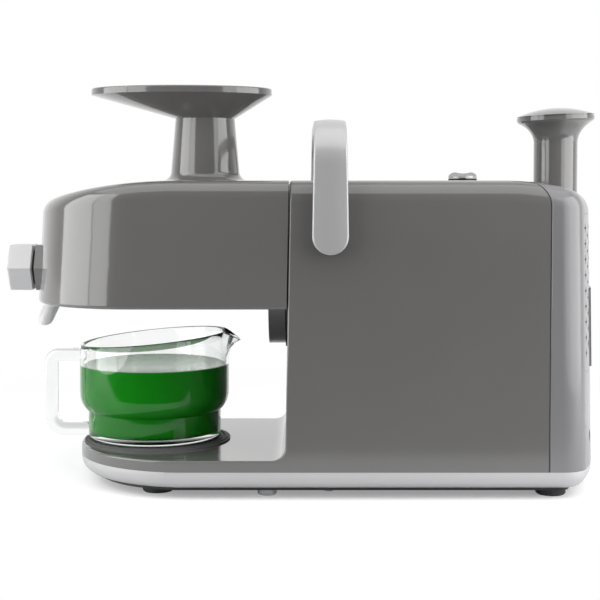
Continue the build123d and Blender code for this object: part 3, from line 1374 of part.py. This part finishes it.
def control_board():
    """Circuit board on the plate's standoffs with a relay, a filter can and a plug."""
    left = board_x - board_length / 2
    near = board_y - board_width / 2
    top = board_z + board_thickness
    board = box_between((left, near, board_z), (left + board_length, near + board_width, top))
    spot = near + board_width / 5
    board += box_between((left + 10, spot, top), (left + 10 + relay_length, spot + relay_width, top + relay_height))
    board += box_between((left + 34, spot, top), (left + 34 + plug_length, spot + plug_width, top + plug_height))
    board += turned([(0, top), (filter_radius, top), (filter_radius, top + filter_height),
                     (0, top + filter_height)], left + 44, board_y + filter_radius)
    return board


# ================================================================ export
def save(name, shape):
    export_step(shape, "parts/" + name + ".step")


os.makedirs("parts", exist_ok=True)
outer_block = tower_block(0, shell_bottom_z)
inner_block = tower_block(wall, 0)
grille_back = tower_block(grille_thickness, 0)
rear_outside = rear_form(outer_block)

for piece in (base_trim, bottom_plate, bottom_screws, front_feet, rear_feet, support_posts, pitcher_pad,
              rear_cover_screws, cord_gland, coupling_plate, dial_seat, switch_body, handle_pivots,
              gearbox_case, gearbox_cover, shaft_bearings, motor_can, motor_stator, motor_end_bell,
              motor_cradle, capacitor, control_board, drive_shaft, idler_shaft, counter_shaft, motor_rotor,
              cooling_fan, head_cover, gear_housing, head_seal, juice_screen, pulp_casing, gear_bushes,
              pulp_spout, juice_funnel, output_press_gear, idler_press_gear, pulp_plug, pulp_knob,
              feed_tray, plunger, handle, control_knob, pitcher):
    save(piece.__name__, piece())
save("main_shell", main_shell(outer_block, inner_block))
save("rear_cover", rear_cover(rear_outside, inner_block, grille_back))
save("vent_grilles", vent_grilles(rear_outside, grille_back))
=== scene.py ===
import bpy
from math import atan2, cos, degrees, hypot, pi, radians, sin
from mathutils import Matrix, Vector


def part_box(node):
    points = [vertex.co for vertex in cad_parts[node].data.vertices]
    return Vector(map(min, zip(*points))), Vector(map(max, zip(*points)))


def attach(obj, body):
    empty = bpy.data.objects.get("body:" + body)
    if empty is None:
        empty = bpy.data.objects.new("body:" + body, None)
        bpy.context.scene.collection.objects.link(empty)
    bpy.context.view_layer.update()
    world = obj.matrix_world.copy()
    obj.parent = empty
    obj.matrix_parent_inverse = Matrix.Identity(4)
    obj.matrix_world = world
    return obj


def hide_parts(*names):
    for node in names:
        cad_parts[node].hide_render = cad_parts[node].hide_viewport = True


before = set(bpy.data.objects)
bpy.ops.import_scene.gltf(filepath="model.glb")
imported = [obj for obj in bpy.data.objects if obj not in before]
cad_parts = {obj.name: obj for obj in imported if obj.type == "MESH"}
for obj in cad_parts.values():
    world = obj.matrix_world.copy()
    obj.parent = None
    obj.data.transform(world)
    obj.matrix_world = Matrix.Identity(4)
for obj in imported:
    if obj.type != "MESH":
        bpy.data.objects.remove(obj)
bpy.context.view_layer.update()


# ---------------------------------------------------------------- tower and deck
# One large moulding in glossy dark grey ABS. It stands on the bright bottom pan and its front
# foot runs out into the low deck that the jug stands on.
class Wire:
    """An output of a shader node that can stand in plain arithmetic."""

    def __init__(self, tree, socket=None):
        self.tree = tree
        self.socket = socket

    def node(self, kind, settings=None, inputs=None, output=0):
        """Adds a node, makes its settings first and then fills its sockets with values or links."""
        made = self.tree.nodes.new(kind)
        for name, value in (settings or {}).items():
            setattr(made, name, value)
        for name, value in (inputs or {}).items():
            if isinstance(value, Wire):
                self.tree.links.new(value.socket, made.inputs[name])
            else:
                made.inputs[name].default_value = value
        return Wire(self.tree, made.outputs[output])

    def math(self, operation, first, second):
        """One sum of two numbers or outputs."""
        return self.node("ShaderNodeMath", {"operation": operation}, {0: first, 1: second})

    def __add__(self, other):
        return self.math("ADD", self, other)

    def __sub__(self, other):
        return self.math("SUBTRACT", self, other)

    def __mul__(self, other):
        return self.math("MULTIPLY", self, other)

    def __radd__(self, other):
        return self.math("ADD", other, self)

    def __rsub__(self, other):
        return self.math("SUBTRACT", other, self)

    def __rmul__(self, other):
        return self.math("MULTIPLY", other, self)

    def above(self, edge, softness):
        """0 below the edge, 1 above it, with a smooth step between."""
        return self.node("ShaderNodeMapRange", {"interpolation_type": "SMOOTHSTEP"},
                         {"Value": self, "From Min": edge - softness, "From Max": edge + softness})


def finish(name, **constants):
    """A material with one Principled shader, whose fixed values go straight onto its sockets."""
    material = bpy.data.materials.new(name)
    material.use_nodes = True
    shader = material.node_tree.nodes["Principled BSDF"]
    for socket, value in constants.items():
        shader.inputs[socket.replace("_", " ")].default_value = value
    return material, Wire(material.node_tree), shader


def noise(wires, scale, detail, stretch=(1, 1, 1)):
    """Clouds of noise in the piece's own coordinates, between 0 and 1."""
    place = wires.node("ShaderNodeTexCoord", output="Object")
    place = wires.node("ShaderNodeVectorMath", {"operation": "MULTIPLY"}, {0: place, 1: stretch})
    return wires.node("ShaderNodeTexNoise", {}, {"Vector": place, "Scale": scale, "Detail": detail})


def blend(wires, share, dark, light):
    """A colour between two others."""
    return wires.node("ShaderNodeMix", {"data_type": "RGBA"},
                      {"Factor": share, 6: dark, 7: light}, output=2)


def connect(wires, shader, **sockets):
    """Links outputs to the shader's sockets of those names."""
    for name, wire in sockets.items():
        wires.tree.links.new(wire.socket, shader.inputs[name.replace("_", " ")])


def relief(wires, height, depth, strength):
    """Bumps of a depth in metres."""
    return wires.node("ShaderNodeBump", {},
                      {"Height": height, "Distance": depth, "Strength": strength})


def grey(level):
    """A grey with a trace of blue."""
    return (level, level, level * 1.01, 1.0)


def moulded(name, dark, light, roughness, texture_depth, coat=0.0, texture_scale=900.0):
    """Moulded plastic: faint flow clouds in its colour, fine skin texture and uneven gloss."""
    material, wires, shader = finish(name, Coat_Roughness=0.04)
    clouds = noise(wires, 14.0, 3.0)
    skin = noise(wires, texture_scale, 2.0)
    connect(wires, shader,
            Base_Color=blend(wires, clouds, dark, light),
            Roughness=roughness + 0.06 * (clouds - 0.5) + 0.04 * (skin - 0.5),
            Coat_Weight=coat + 0.1 * coat * (clouds - 0.5),
            Normal=relief(wires, skin, texture_depth, 0.4))
    return material


def dress(material, *names):
    """Gives CAD nodes their finish."""
    for name in names:
        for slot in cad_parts[name].material_slots:
            slot.material = material


gloss_grey = moulded("gloss grey plastic", (0.126, 0.123, 0.121, 1), (0.136, 0.133, 0.131, 1),
                     0.15, 0.00002, coat=0.7)
dress(gloss_grey, "main_shell")

# ---------------------------------------------------------------- bottom pan, plate, feet and posts
# The pan is a pressed tray lacquered silver that shows as a bright band round the foot. A black
# plate closes it from below, on four rubber feet and two small lacquered posts.
def lacquered(name, dark, light, roughness):
    """Silver lacquer: fine metal flecks under a satin clear coat."""
    material, wires, shader = finish(name, Metallic=0.3, Coat_Roughness=0.2)
    flecks = noise(wires, 2600.0, 1.0)
    clouds = noise(wires, 9.0, 2.0)
    tone = 0.5 * clouds + 0.4 * (flecks - 0.5)
    connect(wires, shader,
            Base_Color=blend(wires, tone, dark, light),
            Roughness=roughness + 0.12 * (flecks - 0.5),
            Coat_Weight=0.25 + 0.1 * (clouds - 0.5),
            Normal=relief(wires, flecks, 0.00001, 0.5))
    return material


pan_silver = lacquered("pan silver lacquer", grey(0.5), grey(0.6), 0.36)
dress(pan_silver, "base_trim", "support_posts")

plate_black = moulded("black grained plastic", grey(0.012), grey(0.02), 0.5, 0.00008,
                      texture_scale=600.0)
dress(plate_black, "bottom_plate")


def rubber(name, dark, light):
    """Rubber: matt, with a fine dusty bloom."""
    material, wires, shader = finish(name)
    bloom = noise(wires, 60.0, 4.0)
    grain = noise(wires, 1500.0, 2.0)
    connect(wires, shader,
            Base_Color=blend(wires, bloom, dark, light),
            Roughness=0.62 + 0.2 * (bloom - 0.5),
            Normal=relief(wires, grain, 0.00006, 0.5))
    return material


foot_rubber = rubber("foot rubber", grey(0.012), grey(0.03))
dress(foot_rubber, "front_feet", "rear_feet")

# ---------------------------------------------------------------- standing pad
# A round rubber mat with ring grooves, pressed into the deck where the jug stands.
pad_rubber = rubber("pad rubber", grey(0.09), grey(0.125))
dress(pad_rubber, "pitcher_pad")

# ---------------------------------------------------------------- rear cover and its grilles
# The bowed rear is a second moulding in a paler grey, screwed to the bottom plate. Two panels
# pierced by crosses are snapped into it, and it carries the socket that stores the plunger.
cover_grey = moulded("pale grey plastic", (0.17, 0.17, 0.175, 1), (0.19, 0.19, 0.195, 1),
                     0.24, 0.00003, coat=0.3)
dress(cover_grey, "rear_cover", "vent_grilles")

# ---------------------------------------------------------------- screws
# Zinc-plated pan head screws with cross slots, two in the rear recesses and four underneath.
def turned_metal(name, colour, bright, roughness):
    """Machined metal: fine tool marks round its axis and along it."""
    material, wires, shader = finish(name, Metallic=1.0)
    marks = noise(wires, 700.0, 3.0, (0.15, 1, 1))
    clouds = noise(wires, 40.0, 2.0)
    connect(wires, shader,
            Base_Color=blend(wires, clouds, colour, bright),
            Roughness=roughness + 0.18 * (marks - 0.5),
            Normal=relief(wires, marks, 0.00002, 0.5))
    return material


zinc = turned_metal("zinc plate", (0.5, 0.5, 0.52, 1), (0.62, 0.62, 0.64, 1), 0.35)
dress(zinc, "rear_cover_screws", "bottom_screws", "handle_pivots")

# ---------------------------------------------------------------- cord gland
# The mains cord's strain relief: a black nylon collar pushed through the rear cover.
dress(plate_black, "cord_gland")

# ---------------------------------------------------------------- coupling plate and seal
# The head's collar seats against a black plate round the two drive shafts, on a rubber ring.
dress(plate_black, "coupling_plate")
dress(foot_rubber, "head_seal")

# ---------------------------------------------------------------- gearbox
# A cast grey box and lid behind the coupling plate hold the bronze bearings of three shafts.
gearbox_grey = moulded("gearbox casting", grey(0.16), grey(0.22), 0.5, 0.00012, texture_scale=350.0)
dress(gearbox_grey, "gearbox_case", "gearbox_cover", "motor_cradle")
bronze = turned_metal("sintered bronze", (0.42, 0.27, 0.11, 1), (0.55, 0.36, 0.16, 1), 0.42)
dress(bronze, "shaft_bearings", "gear_bushes")
gear_steel = turned_metal("ground steel", (0.46, 0.46, 0.47, 1), (0.6, 0.6, 0.61, 1), 0.28)
dress(gear_steel, "drive_shaft", "idler_shaft", "counter_shaft")

# ---------------------------------------------------------------- motor
# A drawn steel can with its wound field ring, armature, spoked end plate and a plastic fan.
dress(gear_steel, "motor_can", "motor_end_bell", "motor_rotor")
winding_copper = turned_metal("varnished windings", (0.3, 0.09, 0.03, 1), (0.42, 0.14, 0.05, 1),
                              0.4)
dress(winding_copper, "motor_stator")
dress(plate_black, "cooling_fan", "switch_body")

# ---------------------------------------------------------------- electrics
# A green circuit board on four posts and a pale capacitor can stand on the bottom plate.
board_green = moulded("circuit board", (0.01, 0.09, 0.04, 1), (0.02, 0.13, 0.06, 1), 0.35, 0.00003)
dress(board_green, "control_board")
capacitor_white = moulded("capacitor can", grey(0.55), grey(0.62), 0.4, 0.00003)
dress(capacitor_white, "capacitor")

# ---------------------------------------------------------------- gear housing, casing and funnel
# The body of the head is moulded in a darker satin grey with a round collar. The nose casing
# and the funnel over the jug are white food-grade plastic.
housing_grey = moulded("housing plastic", grey(0.115), grey(0.125), 0.3, 0.00004, coat=0.2)
dress(housing_grey, "gear_housing")
food_white = moulded("food grade plastic", grey(0.6), grey(0.68), 0.35, 0.00003)
dress(food_white, "pulp_casing", "juice_funnel")

# ---------------------------------------------------------------- strainer and twin gears
# The strainer and the two meshing helical press gears are stainless steel.
stainless = turned_metal("stainless steel", (0.55, 0.55, 0.56, 1), (0.68, 0.68, 0.69, 1), 0.22)
dress(stainless, "juice_screen", "output_press_gear", "idler_press_gear")

# ---------------------------------------------------------------- front cover
# The long cover over the head is the same glossy grey as the tower, with the feed chute on top.
dress(gloss_grey, "head_cover")

# ---------------------------------------------------------------- feed tray
# An oval dish of the same glossy plastic, moulded with the stem that plugs into the chute.
dress(gloss_grey, "feed_tray")

# ---------------------------------------------------------------- plunger
# A solid domed pusher in the same plastic, kept upright in its socket in the rear cover.
dress(gloss_grey, "plunger")

# ---------------------------------------------------------------- pulp outlet
# A hexagonal silver knob on a white throttle plug closes the outlet. A thin dark ring behind it
# is painted shade in the gap between knob and flange. A short frosted spout hangs under the nose
# and drops the pulp.
knob_silver = lacquered("knob silver lacquer", grey(0.5), grey(0.62), 0.34)
dress(knob_silver, "pulp_knob")
dress(food_white, "pulp_plug")


def pick(piece, wanted):
    """Leaves only the vertices at the wanted places selected, in edit mode."""
    bpy.ops.object.mode_set(mode="OBJECT")
    for parts in (piece.data.polygons, piece.data.edges):
        parts.foreach_set("select", [False] * len(parts))
    piece.data.vertices.foreach_set("select", [wanted(vertex.co) for vertex in piece.data.vertices])
    bpy.ops.object.mode_set(mode="EDIT")


# The painted shade ring starts as a round cord and its inner and outer halves are drawn apart to a flat
# ring.
knob_low, knob_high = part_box("pulp_knob")
axis_z = (knob_low.z + knob_high.z) / 2
ring_front_x = -0.2204
ring_inner = 0.0084
ring_outer = 0.0138
cord_radius = 0.0006
ring_middle = (ring_inner + ring_outer) / 2
crown_band = 0.0001          # vertices this close to the middle line stay where they are
bpy.ops.object.select_all(action="DESELECT")
bpy.ops.mesh.primitive_torus_add(location=(ring_front_x + cord_radius, 0, axis_z),
                                 rotation=(0, pi / 2, 0), major_segments=96, minor_segments=16,
                                 major_radius=ring_middle, minor_radius=cord_radius)
painted_shade_ring = bpy.context.object
painted_shade_ring.name = "painted_shade_ring"
bpy.ops.object.transform_apply(location=True, rotation=True, scale=False)
bpy.ops.object.mode_set(mode="EDIT")
bpy.ops.mesh.select_mode(type="VERT")
for side, edge in ((1, ring_outer), (-1, ring_inner)):
    pick(painted_shade_ring, lambda co: side * (hypot(co.y, co.z - axis_z) - ring_middle) > crown_band)
    grow = edge / (ring_middle + side * cord_radius)
    bpy.ops.transform.resize(value=(1, grow, grow), center_override=(0, 0, axis_z))
bpy.ops.object.mode_set(mode="OBJECT")
bpy.ops.object.shade_smooth_by_angle(angle=radians(40))
# The dark rubber finish on this ring is painted shade in the gap behind the knob.
painted_shade_ring.data.materials.append(foot_rubber)
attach(painted_shade_ring, "pulp_plug")

# The spout is a slanted tube of cloudy plastic.
spout_frost, wires, shader = finish("frosted spout", Transmission_Weight=0.55, IOR=1.46)
haze = noise(wires, 120.0, 3.0)
connect(wires, shader,
        Base_Color=blend(wires, haze, grey(0.84), grey(0.93)),
        Roughness=0.42 + 0.1 * (haze - 0.5),
        Normal=relief(wires, haze, 0.00005, 0.4))
dress(spout_frost, "pulp_spout")

# ---------------------------------------------------------------- bail handle
# A broad crowned bar lacquered silver, bent to a U and hung on steel pins in the tower's sides.
bail_silver = lacquered("bail silver lacquer", grey(0.44), grey(0.52), 0.36)
dress(bail_silver, "handle")

# ---------------------------------------------------------------- control dial
# A small silver dial with a finger bar, on a dark ring on the roof.
dress(knob_silver, "control_knob")
dress(plate_black, "dial_seat")

# ---------------------------------------------------------------- jug
# A pressed glass jug with a narrower foot, a slanted fire-polished rim, a drooping lip and a
# squared loop grip fused to its wall. It stands loose on the pad.
def clear_glass(name, tint, roughness, wave):
    """Pressed glass: gently uneven surface and a trace of tint."""
    material, wires, shader = finish(name, Transmission_Weight=1.0, IOR=1.46)
    swell = noise(wires, wave, 1.0)
    connect(wires, shader,
            Base_Color=blend(wires, swell, tint, (1, 1, 1, 1)),
            Roughness=roughness + 0.3 * roughness * (swell - 0.5),
            Normal=relief(wires, swell, 0.0004, 0.25))
    return material


jug_glass = clear_glass("pressed glass", (0.97, 0.99, 0.98, 1), 0.002, 22.0)
jug_x = -0.1229
jug_foot_z = 0.0330
jug_foot_radius = 0.0545
jug_radius = 0.06135
jug_wall = 0.0028
jug_sides = 128
shoulder_high = 0.071
rim_tilt = radians(5.26)
rim_middle_z = 0.11595
lip_reach = 0.01005
lip_droop = 0.0075
lip_columns = 6              # columns of vertices each side of the lip's middle
shoulder_draw = 0.01187      # how far and how high the shoulder's rounding reaches
shoulder_drop = 0.0165
shoulder_turns = (65, 58, 50, 42, 34, 26, 18, 9, 0)


def shoulder(inset):
    """Radius and height of rings up the rounded shoulder, at a depth into the glass."""
    return [(jug_radius - inset - shoulder_draw * (1 - cos(radians(turn))),
             shoulder_high + 0.2 * inset - shoulder_drop * sin(radians(turn)))
            for turn in shoulder_turns]


def draw_up(name, rings):
    """A round body raised ring by ring from a disc, left in edit mode."""
    bpy.ops.object.select_all(action="DESELECT")
    at_radius, at_z = rings[0]
    bpy.ops.mesh.primitive_circle_add(vertices=jug_sides, radius=at_radius, fill_type="NGON",
                                      location=(jug_x, 0, at_z))
    piece = bpy.context.object
    piece.name = name
    bpy.ops.object.transform_apply(location=True, rotation=False, scale=False)
    bpy.ops.object.mode_set(mode="EDIT")
    bpy.ops.mesh.select_mode(type="VERT")
    bpy.ops.mesh.select_all(action="SELECT")
    for ring_radius, ring_z in rings[1:]:
        bpy.ops.mesh.extrude_region_move(TRANSFORM_OT_translate={"value": (0, 0, ring_z - at_z)})
        grow = ring_radius / at_radius
        bpy.ops.transform.resize(value=(grow, grow, 1), center_override=(jug_x, 0, ring_z))
        at_radius, at_z = ring_radius, ring_z
    bpy.ops.mesh.select_all(action="SELECT")
    bpy.ops.mesh.normals_make_consistent(inside=False)
    return piece


wall_heights = (0.0880, 0.1000, 0.1050, 0.1105)
rim_low = rim_middle_z - jug_wall / 2
inner_radius = jug_radius - jug_wall
middle_radius = jug_radius - jug_wall / 2
round_off = 0.707 * jug_wall / 2       # half way round the rim's rounding
outer_wall = [(jug_radius, z) for z in wall_heights + (rim_low,)]
round_z = rim_low + round_off
rim = [(middle_radius + round_off, round_z), (middle_radius, rim_middle_z),
       (middle_radius - round_off, round_z)]
inner_wall = [(inner_radius, z) for z in (rim_low,) + wall_heights[::-1]]
foot = [(0.0450, jug_foot_z + 0.0018), (0.0480, jug_foot_z + 0.0008), (0.0500, jug_foot_z),
        (0.0525, jug_foot_z + 0.0004), (0.0539, jug_foot_z + 0.0014),
        (jug_foot_radius, jug_foot_z + 0.0034)]
inner_foot = [(jug_foot_radius - jug_wall, 0.0430), (0.0508, 0.0405), (0.0490, 0.0391),
              (0.0460, 0.0385)]
outside = foot + shoulder(0) + outer_wall + rim
inside = inner_wall + shoulder(jug_wall)[::-1] + inner_foot
jug = draw_up("jug", outside + inside)

# The upper rings are tilted to the slant of the rim, and its high side is drawn out to the lip.
for height, share in ((0.1050, 0.35), (0.1105, 0.7), (rim_low, 1.0), (round_z, 1.0),
                      (rim_middle_z, 1.0)):
    pick(jug, lambda co: abs(co.z - height) < 0.00002)
    bpy.ops.transform.rotate(value=share * rim_tilt, orient_axis="Y", center_override=(jug_x, 0, height))
side_step = 360 / jug_sides
for column in range(lip_columns):
    for low, high, share in ((0.1035, 0.1090, 0.15), (0.1090, 0.1170, 0.55), (0.1170, 0.1230, 1.0)):
        part = share * cos(radians(90 * column / lip_columns)) ** 2
        pick(jug, lambda co: low < co.z < high and co.x > jug_x
             and abs(abs(degrees(atan2(co.y, co.x - jug_x))) - column * side_step) < side_step / 2)
        bpy.ops.transform.translate(value=(part * lip_reach, 0, -part * lip_droop))

# The loop grip is drawn out of the wall from a rounded rectangle, bent twice and led to the foot.
grip_thick = 0.0102
grip_wide = 0.0140
grip_top_z = 0.1059 - grip_thick / 2
grip_low_z = 0.0340 + grip_thick / 2
grip_outer_x = -0.2138 + grip_thick / 2
top_bend = 0.0066
low_bend = 0.0120
bend_steps = 8
grip_round = 0.0034
top_root_x = jug_x - middle_radius
low_root_x = jug_x - jug_foot_radius + jug_wall / 2
bpy.ops.object.mode_set(mode="OBJECT")
bpy.ops.object.select_all(action="DESELECT")
bpy.ops.mesh.primitive_plane_add(size=1, location=(top_root_x, 0, grip_top_z),
                                 rotation=(0, pi / 2, 0))
grip = bpy.context.object
grip.scale = (grip_thick, grip_wide, 1)
bpy.ops.object.transform_apply(location=True, rotation=True, scale=True)
bpy.ops.object.mode_set(mode="EDIT")
bpy.ops.mesh.select_mode(type="VERT")
bpy.ops.mesh.select_all(action="SELECT")
bpy.ops.mesh.bevel(offset=grip_round, segments=5, affect="VERTICES")
bpy.ops.mesh.select_all(action="SELECT")
bpy.ops.mesh.delete(type="ONLY_FACE")
bpy.ops.mesh.select_all(action="SELECT")
bpy.ops.mesh.extrude_region_move(
    TRANSFORM_OT_translate={"value": (grip_outer_x + top_bend - top_root_x, 0, 0)})
bpy.ops.mesh.spin(steps=bend_steps, angle=pi / 2, axis=(0, 1, 0),
                  center=(grip_outer_x + top_bend, 0, grip_top_z - top_bend))
bpy.ops.mesh.extrude_region_move(
    TRANSFORM_OT_translate={"value": (0, 0, grip_low_z + low_bend - grip_top_z + top_bend)})
bpy.ops.mesh.spin(steps=bend_steps, angle=pi / 2, axis=(0, 1, 0),
                  center=(grip_outer_x + low_bend, 0, grip_low_z + low_bend))
bpy.ops.mesh.extrude_region_move(
    TRANSFORM_OT_translate={"value": (low_root_x - grip_outer_x - low_bend, 0, 0)})
for root_x in (top_root_x, low_root_x):
    pick(grip, lambda co: abs(co.x - root_x) < 0.00002)
    bpy.ops.mesh.edge_face_add()
bpy.ops.mesh.select_all(action="SELECT")
bpy.ops.mesh.remove_doubles(threshold=0.000001)
bpy.ops.mesh.normals_make_consistent(inside=False)
bpy.ops.object.mode_set(mode="OBJECT")
bpy.ops.object.select_all(action="DESELECT")
jug.select_set(True)
bpy.context.view_layer.objects.active = jug
fuse = jug.modifiers.new("fuse", "BOOLEAN")
fuse.operation = "UNION"
fuse.solver = "EXACT"
fuse.object = grip
bpy.ops.object.modifier_apply(modifier="fuse")
bpy.data.objects.remove(grip)
bpy.ops.object.shade_smooth_by_angle(angle=radians(38))
jug.data.materials.append(jug_glass)
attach(jug, "pitcher")
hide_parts("pitcher")

# ---------------------------------------------------------------- juice
# Fresh green juice fills the jug to a little above half, and wets its wall all round.
wetting = 0.00015
juice_level = 0.0940
juice_side = jug_wall - wetting
juice_foot = [(0.0460, 0.0384), (0.0491, 0.0390), (0.0509, 0.0404),
              (jug_foot_radius - juice_side, 0.0429)]
juice_edge = [(jug_radius - juice_side, juice_level - 0.0005),
              (inner_radius - 0.0007, juice_level - 0.0001),
              (inner_radius - 0.0025, juice_level - 0.0004)]
juice = draw_up("juice", juice_foot + shoulder(juice_side) + juice_edge)
bpy.ops.object.mode_set(mode="OBJECT")
bpy.ops.object.shade_smooth_by_angle(angle=radians(50))

# Against the glass the juice has no surface of its own, so only its open top is glossy.
for name, gloss in (("green juice", 0.1), ("juice surface", 0.5)):
    juice_green, wires, shader = finish(name, Subsurface_Weight=0.3,
                                        Subsurface_Radius=(0.004, 0.012, 0.003),
                                        Subsurface_Scale=1.0, IOR=1.35, Specular_IOR_Level=gloss)
    pulp = noise(wires, 240.0, 5.0)
    drift = noise(wires, 30.0, 3.0)
    connect(wires, shader,
            Base_Color=blend(wires, 0.6 * drift + 0.4 * pulp,
                             (0.0008, 0.24, 0.0008, 1), (0.003, 0.36, 0.003, 1)),
            Roughness=0.12 + 0.1 * (pulp - 0.5),
            Normal=relief(wires, pulp, 0.00005, 0.4))
    juice.data.materials.append(juice_green)
for face in juice.data.polygons:
    face.material_index = 1 if face.normal.z > 0.9 else 0
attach(juice, "pitcher")

# ---------------------------------------------------------------- floor, light and camera
# A white sheet on a table in a white room, with soft light from above and from both sides. The
# table in front of the sheet is dark, so the glossy front isn't veiled by its reflection.
bpy.ops.object.select_all(action="DESELECT")
bpy.ops.mesh.primitive_plane_add(size=12.0, location=(0, 0, 0))
floor = bpy.context.object
floor.name = "floor"
sheet_front = -0.26
sheet_white = 0.72
table_dark = 0.08
floor_white = bpy.data.materials.new("white table top")
floor_white.use_nodes = True
wires = Wire(floor_white.node_tree)
floor_white.node_tree.nodes.remove(floor_white.node_tree.nodes["Principled BSDF"])
place = wires.node("ShaderNodeTexCoord", output="Object")
distance = wires.node("ShaderNodeVectorMath", {"operation": "LENGTH"}, {0: place}, output="Value")
along = wires.node("ShaderNodeSeparateXYZ", {}, {"Vector": place}, output="Y")
ahead = along.above(sheet_front, 0.03)
camera_ray = wires.node("ShaderNodeLightPath", output="Is Camera Ray")
clear_ray = wires.node("ShaderNodeLightPath", output="Is Transmission Ray")
gloss_ray = wires.node("ShaderNodeLightPath", output="Is Glossy Ray")
behind = along.above(0.2, 0.1)
in_front = (1 - along.above(sheet_front + 0.08, 0.04)) * camera_ray
seen = wires.math("MAXIMUM", clear_ray, gloss_ray) * behind
seen = wires.math("MAXIMUM", camera_ray, seen)
far = wires.math("MAXIMUM", distance.above(0.5, 0.2), in_front)
ground = blend(wires, ahead, grey(table_dark), grey(sheet_white))
matt = wires.node("ShaderNodeBsdfDiffuse", {}, {"Color": ground})
glow = wires.node("ShaderNodeEmission", {}, {"Color": (1, 1, 1, 1), "Strength": 1.0})
faint_glow = wires.node("ShaderNodeEmission", {}, {"Color": (1, 1, 1, 1), "Strength": 0.3})
near = wires.node("ShaderNodeAddShader", {}, {0: matt, 1: faint_glow})
near = wires.node("ShaderNodeMixShader", {}, {0: seen, 1: matt, 2: near})
whole = wires.node("ShaderNodeMixShader", {}, {0: far * seen, 1: near, 2: glow})
surface = floor_white.node_tree.nodes["Material Output"].inputs["Surface"]
floor_white.node_tree.links.new(whole.socket, surface)
floor.data.materials.append(floor_white)

room_level = 0.1
backdrop_level = 1.0
world = bpy.data.worlds.new("white room")
bpy.context.scene.world = world
world.use_nodes = True
wires = Wire(world.node_tree)
world.node_tree.nodes.clear()
camera_ray = wires.node("ShaderNodeLightPath", output="Is Camera Ray")
backdrop = wires.node("ShaderNodeTexCoord", output="Generated")
backdrop = wires.node("ShaderNodeSeparateXYZ", {}, {"Vector": backdrop}, output="Y").above(0.35, 0.35)
strength = room_level + (backdrop_level - room_level) * backdrop
strength = wires.math("MAXIMUM", strength, camera_ray)
sky = wires.node("ShaderNodeBackground", {}, {"Color": (1, 1, 1, 1), "Strength": strength})
out = world.node_tree.nodes.new("ShaderNodeOutputWorld")
world.node_tree.links.new(sky.socket, out.inputs["Surface"])


def softbox(name, first, last, low, high, radiance):
    """An upright rectangular lamp between two places on the floor plan, facing the object."""
    width = hypot(last[0] - first[0], last[1] - first[1])
    lamp = bpy.data.lights.new(name, "AREA")
    lamp.shape = "RECTANGLE"
    lamp.size = width
    lamp.size_y = high - low
    lamp.energy = radiance * pi * width * (high - low)
    holder = bpy.data.objects.new(name, lamp)
    bpy.context.scene.collection.objects.link(holder)
    holder.location = ((first[0] + last[0]) / 2, (first[1] + last[1]) / 2, (low + high) / 2)
    facing = atan2(last[1] - first[1], last[0] - first[0])
    holder.rotation_euler = (pi / 2, 0, facing)
    return holder


panel_low = 0.0
panel_high = 0.9
softbox("left panel", (-0.85, 0.0), (-0.68, -0.45), panel_low, panel_high, 3.9)
softbox("front left panel", (-0.68, -0.47), (-0.6, -0.8), panel_low, panel_high, 3.0)
softbox("front right panel", (0.5, -0.8), (0.6, -0.56), panel_low, panel_high, 2.4)
softbox("right panel", (0.6, -0.54), (0.95, 0.05), panel_low, panel_high, 3.7)

# The overhead lamp is the same kind of box, laid flat about its own middle.
overhead = softbox("overhead softbox", (-1.1, -0.55), (1.1, -0.55), 0.65, 2.25, 1.5)
overhead.rotation_euler = (0, 0, 0)

view_distance = 1.073
eye_height = 0.2411
tilt = radians(2.53)
focal = 78.0
camera_data = bpy.data.cameras.new("camera")
camera_data.lens = focal
camera_data.sensor_width = 36.0
camera_data.shift_y = -0.096
camera = bpy.data.objects.new("camera", camera_data)
bpy.context.scene.collection.objects.link(camera)
camera.location = (-0.0025, -view_distance, eye_height)
camera.rotation_euler = (pi / 2 - tilt, 0, 0)
bpy.context.scene.camera = camera
bpy.context.scene.view_settings.view_transform = "Standard"
